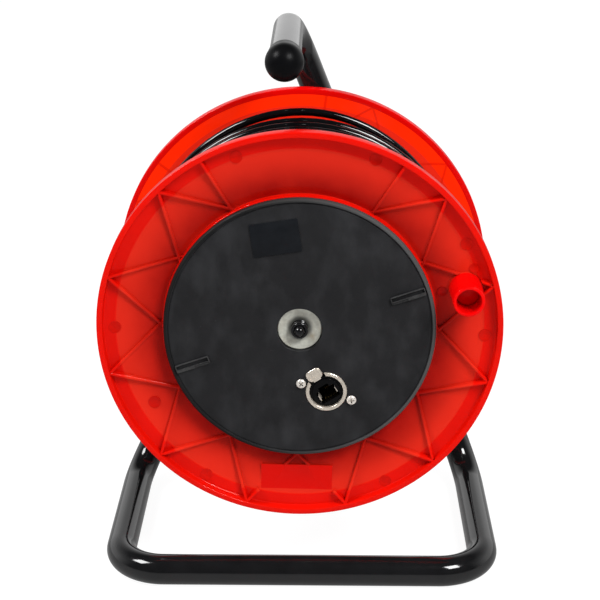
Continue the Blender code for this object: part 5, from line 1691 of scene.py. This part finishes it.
@dataclass
class Inside(Assembly):
    """Pieces inside the drum, most of them the frame's own nodes with a better finish."""

    finishes: tuple[tuple[Finish, tuple[str, ...]], ...] = (
        (NYLON, ("front_bush", "rear_bush")),
        (RED_BARREL, ("drum_barrel",)),
        (ZINC, tuple(f"tie_nut_{number}" for number in range(1, 5))),
        (BLACK_PART, ("socket_terminals", "lead_clamp")),
        (STEEL, ("clamp_screw_1", "clamp_screw_2", "latch_spring")),
        (SHEATH, ("inner_lead",)),
    )
    tie_screw: tuple[float, float, float] = (0.0039, 0.0027, 0.0020)
    tie_ends: tuple[float, float] = (0.1108, 0.0478)
    tie_turns: tuple[float, ...] = (0.2, 0.9, 0.5, 1.3)

    def build(self) -> None:
        """Dress the nodes, and make the tie screws whose heads show at the rear."""
        for finish, names in self.finishes:
            for name in names:
                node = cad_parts[name]
                for slot in node.material_slots:
                    slot.material = finish.material()
        seat, tip = self.tie_ends
        screw = moved(cross_screw(*self.tie_screw, seat - tip), MIRROR)
        spots = [(x, seat, z) for x, z in (polar(TIE_R, angle) for angle in TIE_ANGLES)]
        mesh = repeated("tie_screws", screw, spots, STEEL, self.tie_turns)
        self.add("tie_screws_plated", mesh, STEEL, Body.DRUM, "steel",
                 [f"tie_screw_{number}" for number in range(1, 5)])


@dataclass
class Knob(Assembly):
    """Open winding knob and the pin that it turns on."""

    mouth: float = -0.0175
    base: float = 0.0056
    outer_r: float = 0.00875
    bore_r: float = 0.0070
    seat_r: float = 0.0045
    hole_r: float = 0.0026
    floor: float = -0.0030
    pin_head: tuple[float, float] = (0.0064, 0.0012)
    pin_shank: tuple[float, float] = (0.0023, 0.0078)

    def build(self) -> None:
        """Make the knob and its pin."""
        seat, hole = self.seat_r, self.hole_r
        profile = [(self.bore_r, self.mouth, 0.0004), (self.outer_r, self.mouth, 0.0007),
                   (self.outer_r + 0.0006, self.base, 0.0004), (seat, self.base), (seat, 0.0),
                   (hole, 0.0), (hole, self.floor), (self.bore_r - 0.0001, self.floor, 0.0003)]
        at = REEL @ place(*polar(*KNOB_AT))
        self.add("winding_knob_moulded", lathe("knob", soften(profile, 0.0002, 5), 96), RED_KNOB, Body.KNOB,
                 "red_plastic", ["winding_knob"], at)
        head_r, height = self.pin_head
        shank_r, end = self.pin_shank
        top = self.floor - height
        head = [(0.0, top), (head_r, top, 0.0003), (head_r, self.floor - GAP),
                (shank_r, self.floor - GAP), (shank_r, end, 0.0004), (0.0, end)]
        self.add("knob_pin_moulded", lathe("pin", soften(head, 0.0001), 48), RED_KNOB, Body.DRUM,
                 "red_plastic", ["knob_pin"], at)


@dataclass
class Winding(Assembly):
    """The network cable: five layers on the barrel, a loose turn over the top, and its plug."""

    cable_r: float = 0.0024
    layers: tuple[tuple[float, float, float, float], ...] = (
        (0.0784, 17.90, 0.0170, 0.1046), (0.0832, 18.40, 0.1046, 0.0144),
        (0.0880, 18.50, 0.0144, 0.1056), (0.0928, 18.75, 0.1056, 0.0132))
    outer: tuple[float, float, float, float] = (0.0976, 15.5, 0.0132, 0.0945)
    humps: tuple[float, float] = (0.0827, 0.0932)
    hump_rise: float = 0.0015
    hump_reach: float = 0.0045
    climb: float = math.radians(40.0)
    loose_depth: float = 0.1000
    loose_rise: tuple[float, float, float] = (0.0060, 25.0, 65.0)
    loose_fall: tuple[float, float, float] = (0.0041, 90.0, 60.0)
    tail_leaves: float = math.radians(150.0)
    plug_turn: float = math.radians(190.0)
    plug_axis_r: float = 0.105
    plug: tuple[float, float, float] = (0.0117, 0.0080, 0.0215)
    boot: float = 0.0215
    exit: tuple[float, float, float] = (0.076, math.radians(162.0), 0.017)
    length: float = 50.0
    inner_steps: int = 24
    outer_steps: int = 72
    loose_steps: int = 96
    tail_steps: int = 18
    sides: int = 12

    def point(self, angle: float, radius: float, depth: float) -> Vector:
        """Point of the cable in the frame."""
        x, z = polar(radius, angle)
        return REEL @ Vector((x, depth, z))

    def inner_layers(self, last: float) -> list[Vector]:
        """Turns of the hidden layers, each climbing to the next at its end; they stop at an angle.

        Args:
            last: The angle.

        Returns:
            Points of the path.
        """
        points = []
        angle = last - math.tau * sum(turns for _, turns, _, _ in self.layers)
        radii = [layer[0] for layer in self.layers] + [self.outer[0]]
        for (radius, turns, start, end), above in zip(self.layers, radii[1:]):
            sweep = turns * math.tau
            steps = round(turns * self.inner_steps)
            for step in range(steps):
                share = step / steps
                rise = ease(1.0 - (1.0 - share) * sweep / self.climb) * (above - radius)
                if radius == radii[0]:
                    rise -= (radius - self.exit[0]) * (1.0 - ease(share * sweep / self.climb))
                points.append(self.point(angle + sweep * share, radius + rise,
                                         start + (end - start) * share))
            angle += sweep
        return points

    def outer_layer(self, first: float) -> list[Vector]:
        """The outer layer, and the half turn that moves out beside it.

        Args:
            first: Angle where the layer starts.

        Returns:
            Points of the path.
        """
        radius, turns, start, end = self.outer
        steps = round(turns * self.outer_steps)
        points = []
        for step in range(steps):
            angle = first + step * math.tau / self.outer_steps
            depth = start + (end - start) * step / steps
            hump = sum(ease(1.0 - abs(depth - top) / self.hump_reach) for top in self.humps)
            rise = self.hump_rise * hump * max(0.0, math.sin(angle))
            points.append(self.point(angle, radius + rise, depth))
        half_turn = self.outer_steps // 2
        for step in range(half_turn):
            share = step / half_turn
            points.append(self.point(math.pi * (share - 1.0), radius,
                                     end + (self.loose_depth - end) * ease(share)))
        return points

    def loose_radius(self, angle: float) -> float:
        """Radius of the loose turn, which stands off the layer over the top of the drum.

        Args:
            angle: Angle round the axle.

        Returns:
            The radius there.
        """
        rise, fall = (most * ease((angle - math.radians(start)) / math.radians(sweep))
                      for most, start, sweep in (self.loose_rise, self.loose_fall))
        return self.outer[0] + rise - fall

    def loose_turn(self) -> list[Vector]:
        """The loose run over the top, then the straight end that enters the plug's boot.

        Returns:
            Points of the path.
        """
        points = []
        for angle in np.arange(0.0, self.tail_leaves, math.tau / self.loose_steps):
            points.append(self.point(angle, self.loose_radius(angle), self.loose_depth))
        straight = math.atan((self.boot + 3 * self.cable_r) / self.plug_axis_r)
        meets = self.plug_turn - straight
        start_r = self.loose_radius(self.tail_leaves)
        end_r = self.plug_axis_r / math.cos(straight)
        slope = -end_r * math.tan(straight)
        for share in np.linspace(0.0, 1.0, self.tail_steps):
            pull = (share ** 3 - share ** 2) * slope * (meets - self.tail_leaves)
            radius = start_r + (end_r - start_r) * ease(share) + pull
            points.append(self.point(self.tail_leaves + (meets - self.tail_leaves) * share, radius,
                                     self.loose_depth))
        reach = math.atan((self.boot + GAP) / self.plug_axis_r)
        points.append(self.point(self.plug_turn - reach, self.plug_axis_r / math.cos(reach),
                                 self.loose_depth))
        return points

    def plug_place(self) -> Matrix:
        """Matrix from the plug's own place to the frame."""
        x, z = polar(self.plug_axis_r, self.plug_turn)
        return REEL @ place(x, z, self.plug_turn, self.loose_depth)

    def build(self) -> None:
        first = -math.pi - self.outer[1] * math.tau
        route = self.inner_layers(first) + self.outer_layer(first) + self.loose_turn()
        mesh = tube("cable", route, self.cable_r, self.sides)
        cable = self.add("network_cable", mesh, SHEATH, Body.DRUM, "cable_sheath",
                         ["cable_core", "cable_layer"], Matrix.Identity(4))
        pieces = [self.boot_piece(), *self.plug_pieces()]

    def boot_piece(self) -> bpy.types.Object:
        """Ribbed, tapered boot where the cable enters the plug.

        Returns:
            The boot.
        """
        profile = [(0.0, -self.boot), (0.0030, -self.boot, 0.0004)]
        for k in range(3):
            low, radius = -self.boot + 0.004 + k * 0.004, 0.0032 + 0.0004 * k
            profile += [(radius, low), (radius, low + 0.0014), (radius + 0.0006, low + 0.0016),
                        (radius + 0.0006, low + 0.0038)]
        profile += [(0.0050, -0.0050, 0.0008), (0.0050, -GAP), (0.0, -GAP)]
        mesh = moved(lathe("boot", soften(profile, 0.0002), 48), Matrix.Rotation(math.radians(90.0), 4, "X"))
        return self.add("plug_boot_moulded", mesh, BLACK_PART, Body.DRUM, "black_plastic", ["plug_boot"],
                        self.plug_place())

    def plug_pieces(self) -> list[bpy.types.Object]:
        """Clear body, contact blades and latch lever of the plug.

        Returns:
            The body, the blades and the lever.
        """
        width, thick, length = self.plug
        deep, low = -0.0022, length - 0.0065
        outline = [(x, z + length / 2) for x, z in rounded_box(thick, length, 0.0006, 3)]
        body = prism("plug", outline, -width / 2, width / 2, 0.0004)
        recess = [(-thick, low), (deep, low), (deep, length + PAST), (-thick, length + PAST)]
        body = combined(body, [(Join.CUT, prism("recess", recess, -0.0047, 0.0047))])
        at = self.plug_place()
        made = [self.add("plug_body_clear", body, CLEAR, Body.DRUM, "clear_plastic", ["plug_body"], at)]
        x, z = deep - 0.00095, length - 0.0033
        blade = prism("blade", rounded_box(0.0013, 0.0056, 0.0003, 3), -0.0002, 0.0002, 0.00006)
        blades = repeated("blades", blade, [(x, y, z) for y in JACK_SPREAD], GOLD)
        half = JACK_WIRES / 2 * JACK_PITCH
        bar = moved(prism("bar", rounded_box(0.0005, 0.0016, 0.0001, 2), -half, half), place(x, z))
        made.append(self.add("plug_contact_blades", merged("blades", [blades, bar]), GOLD, Body.DRUM, "gold",
                             ["plug_contacts"], at))
        lever = [(-0.0005, 0.0006), (-0.0005, -0.0010), (0.0024, -0.0160), (0.0034, -0.0160),
                 (0.0006, -0.0010), (0.0006, 0.0006)]
        hinge = at @ place(thick / 2 + 0.0008, length - 0.0015)
        made.append(self.add("plug_latch_lever", prism("lever", lever, -0.0031, 0.0031, 0.00025), CLEAR,
                             Body.LEVER, "clear_plastic", ["plug_latch"], hinge))
        return made


# Floor, light and camera

@dataclass
class Studio:
    """White floor and backdrop, soft lamps and the camera of the photo."""

    lens: float = 95.49
    at: tuple[float, float, float] = (0.01095, -0.90461, 0.47644)
    pitch: float = math.radians(-19.56)
    yaw: float = math.radians(0.79)
    shift: float = -0.00207
    floor_tone: float = 0.75
    floor_glow: float = 1.16
    glow_share: float = 0.82
    ambient: float = 0.47
    lamps: tuple[tuple[str, tuple[float, float, float], float, float], ...] = (
        ("left_box", (-0.80, -0.30, 1.10), 0.42, 12.0), ("key_box", (0.80, -1.0, 1.4), 0.6, 29.0))

    def camera(self) -> None:
        """Camera at the photo's place and angle."""
        data = bpy.data.cameras.new("camera")
        data.lens, data.sensor_width, data.shift_y = self.lens, 36.0, self.shift
        data.clip_start, data.clip_end = 0.01, 50.0
        camera = bpy.data.objects.new("camera", data)
        camera.location = self.at
        camera.rotation_euler = (math.pi / 2 + self.pitch, 0.0, self.yaw)
        bpy.context.scene.collection.objects.link(camera)
        bpy.context.scene.camera = camera

    def lamp(self, name: str, at: Sequence[float], size: float, power: float) -> None:
        """Soft area lamp that faces the drum.

        Args:
            name: Name of the lamp.
            at: Its place.
            size: Length of its sides.
            power: Its power in watts.
        """
        data = bpy.data.lights.new(name, "AREA")
        data.shape, data.size, data.size_y, data.energy = "RECTANGLE", size, size, power
        lamp = bpy.data.objects.new(name, data)
        lamp.location = at
        toward = Vector((0.0, 0.0, 0.16)) - Vector(at)
        lamp.rotation_euler = toward.to_track_quat("-Z", "Y").to_euler()
        bpy.context.scene.collection.objects.link(lamp)

    def world(self) -> None:
        """White background; reflections see white behind and below, and a dim room in front."""
        world = bpy.data.worlds.new("studio")
        world.use_nodes = True
        bpy.context.scene.world = world
        tree = NodeTree(world.node_tree)
        ray = tree.node("ShaderNodeLightPath").outputs
        way = tree.node("ShaderNodeTexCoord").outputs["Generated"]
        parts = tree.axes(way)
        behind = tree.span(parts["Y"], -0.35, 0.25)
        low = tree.span(parts["Z"], 0.75, 0.35)
        seen = tree.span(tree.math("MULTIPLY", behind, low), 0.0, 1.0, 0.03, 1.0)
        clear = tree.math("MAXIMUM", ray["Is Camera Ray"], ray["Is Transmission Ray"])
        glossy = tree.math("MULTIPLY", ray["Is Glossy Ray"], seen)
        white = tree.math("MINIMUM", tree.math("ADD", clear, glossy), 1.0)
        any_ray = tree.math("MINIMUM", tree.math("ADD", clear, ray["Is Glossy Ray"]), 1.0)
        rest = tree.math("MULTIPLY", tree.math("SUBTRACT", 1.0, any_ray), self.ambient)
        background = world.node_tree.nodes["Background"]
        world.node_tree.links.new(tree.math("ADD", white, rest), background.inputs["Strength"])
        background.inputs["Color"].default_value = (1.0, 1.0, 1.0, 1.0)

    def floor(self) -> None:
        """Plain floor, white to the camera but for a soft shadow."""
        shape = bmesh.new()
        bmesh.ops.create_grid(shape, x_segments=1, y_segments=1, size=6.0)
        mesh = bpy.data.meshes.new("floor")
        shape.to_mesh(mesh)
        shape.free()
        paper = Shader("floor_paper")
        paper.base.inputs["Base Color"].default_value = (*[self.floor_tone] * 3, 1.0)
        paper.base.inputs["Roughness"].default_value = 0.9
        paper.feed("Normal", paper.bump(paper.noise(0.004), 0.00002))
        ray = paper.node("ShaderNodeLightPath").outputs
        seen = paper.math("MAXIMUM", paper.math("MAXIMUM", ray["Is Camera Ray"], ray["Is Glossy Ray"]),
                          ray["Is Transmission Ray"])
        parts = paper.axes(paper.place)
        mirrored = paper.span(parts["Y"], -0.30, -0.10, 0.05, 0.40)
        glossy = ray["Is Glossy Ray"]
        direct = paper.math("MULTIPLY", paper.math("SUBTRACT", 1.0, glossy), self.floor_glow)
        strength = paper.math("ADD", paper.math("MULTIPLY", glossy, mirrored), direct)
        glow = paper.node("ShaderNodeEmission", {"Color": (1.0, 1.0, 1.0, 1.0),
                                                 "Strength": strength}).outputs[0]
        share = paper.math("MULTIPLY", seen, self.glow_share)
        mix = paper.node("ShaderNodeMixShader", {0: share, 1: paper.base.outputs[0], 2: glow}).outputs[0]
        paper.tree.links.new(mix, paper.tree.nodes["Material Output"].inputs["Surface"])
        mesh.materials.append(paper.material)
        floor = in_scene(mesh)
        floor.location = (0.0, 0.0, -0.0002)

    def build(self) -> None:
        """Set the camera, floor, world and lamps."""
        self.camera()
        self.floor()
        self.world()
        for lamp in self.lamps:
            self.lamp(*lamp)
        bpy.context.scene.view_settings.view_transform = "Standard"


def main() -> None:
    """Build the studio and the reel, and report each piece."""
    logging.basicConfig(level=logging.INFO, format="%(name)s: %(message)s")
    Studio().build()
    rear = Flange(name="rear_flange", finish=RED_REAR, hub=Hub.CLOSED, turn=REAR_TURN)
    assemblies: list[Assembly] = [Winding(), Stand(), Axle(), Flange(marks=FRONT_MARKS), rear, HubCover(),
                                  Socket(), Inside(), Knob()]
    for assembly in assemblies:
        assembly.build()
        for piece in assembly.made:
            LOG.info("%s: %s, %d faces", type(assembly).__name__, piece.name, len(piece.data.polygons))


if __name__ == "__main__":
    main()
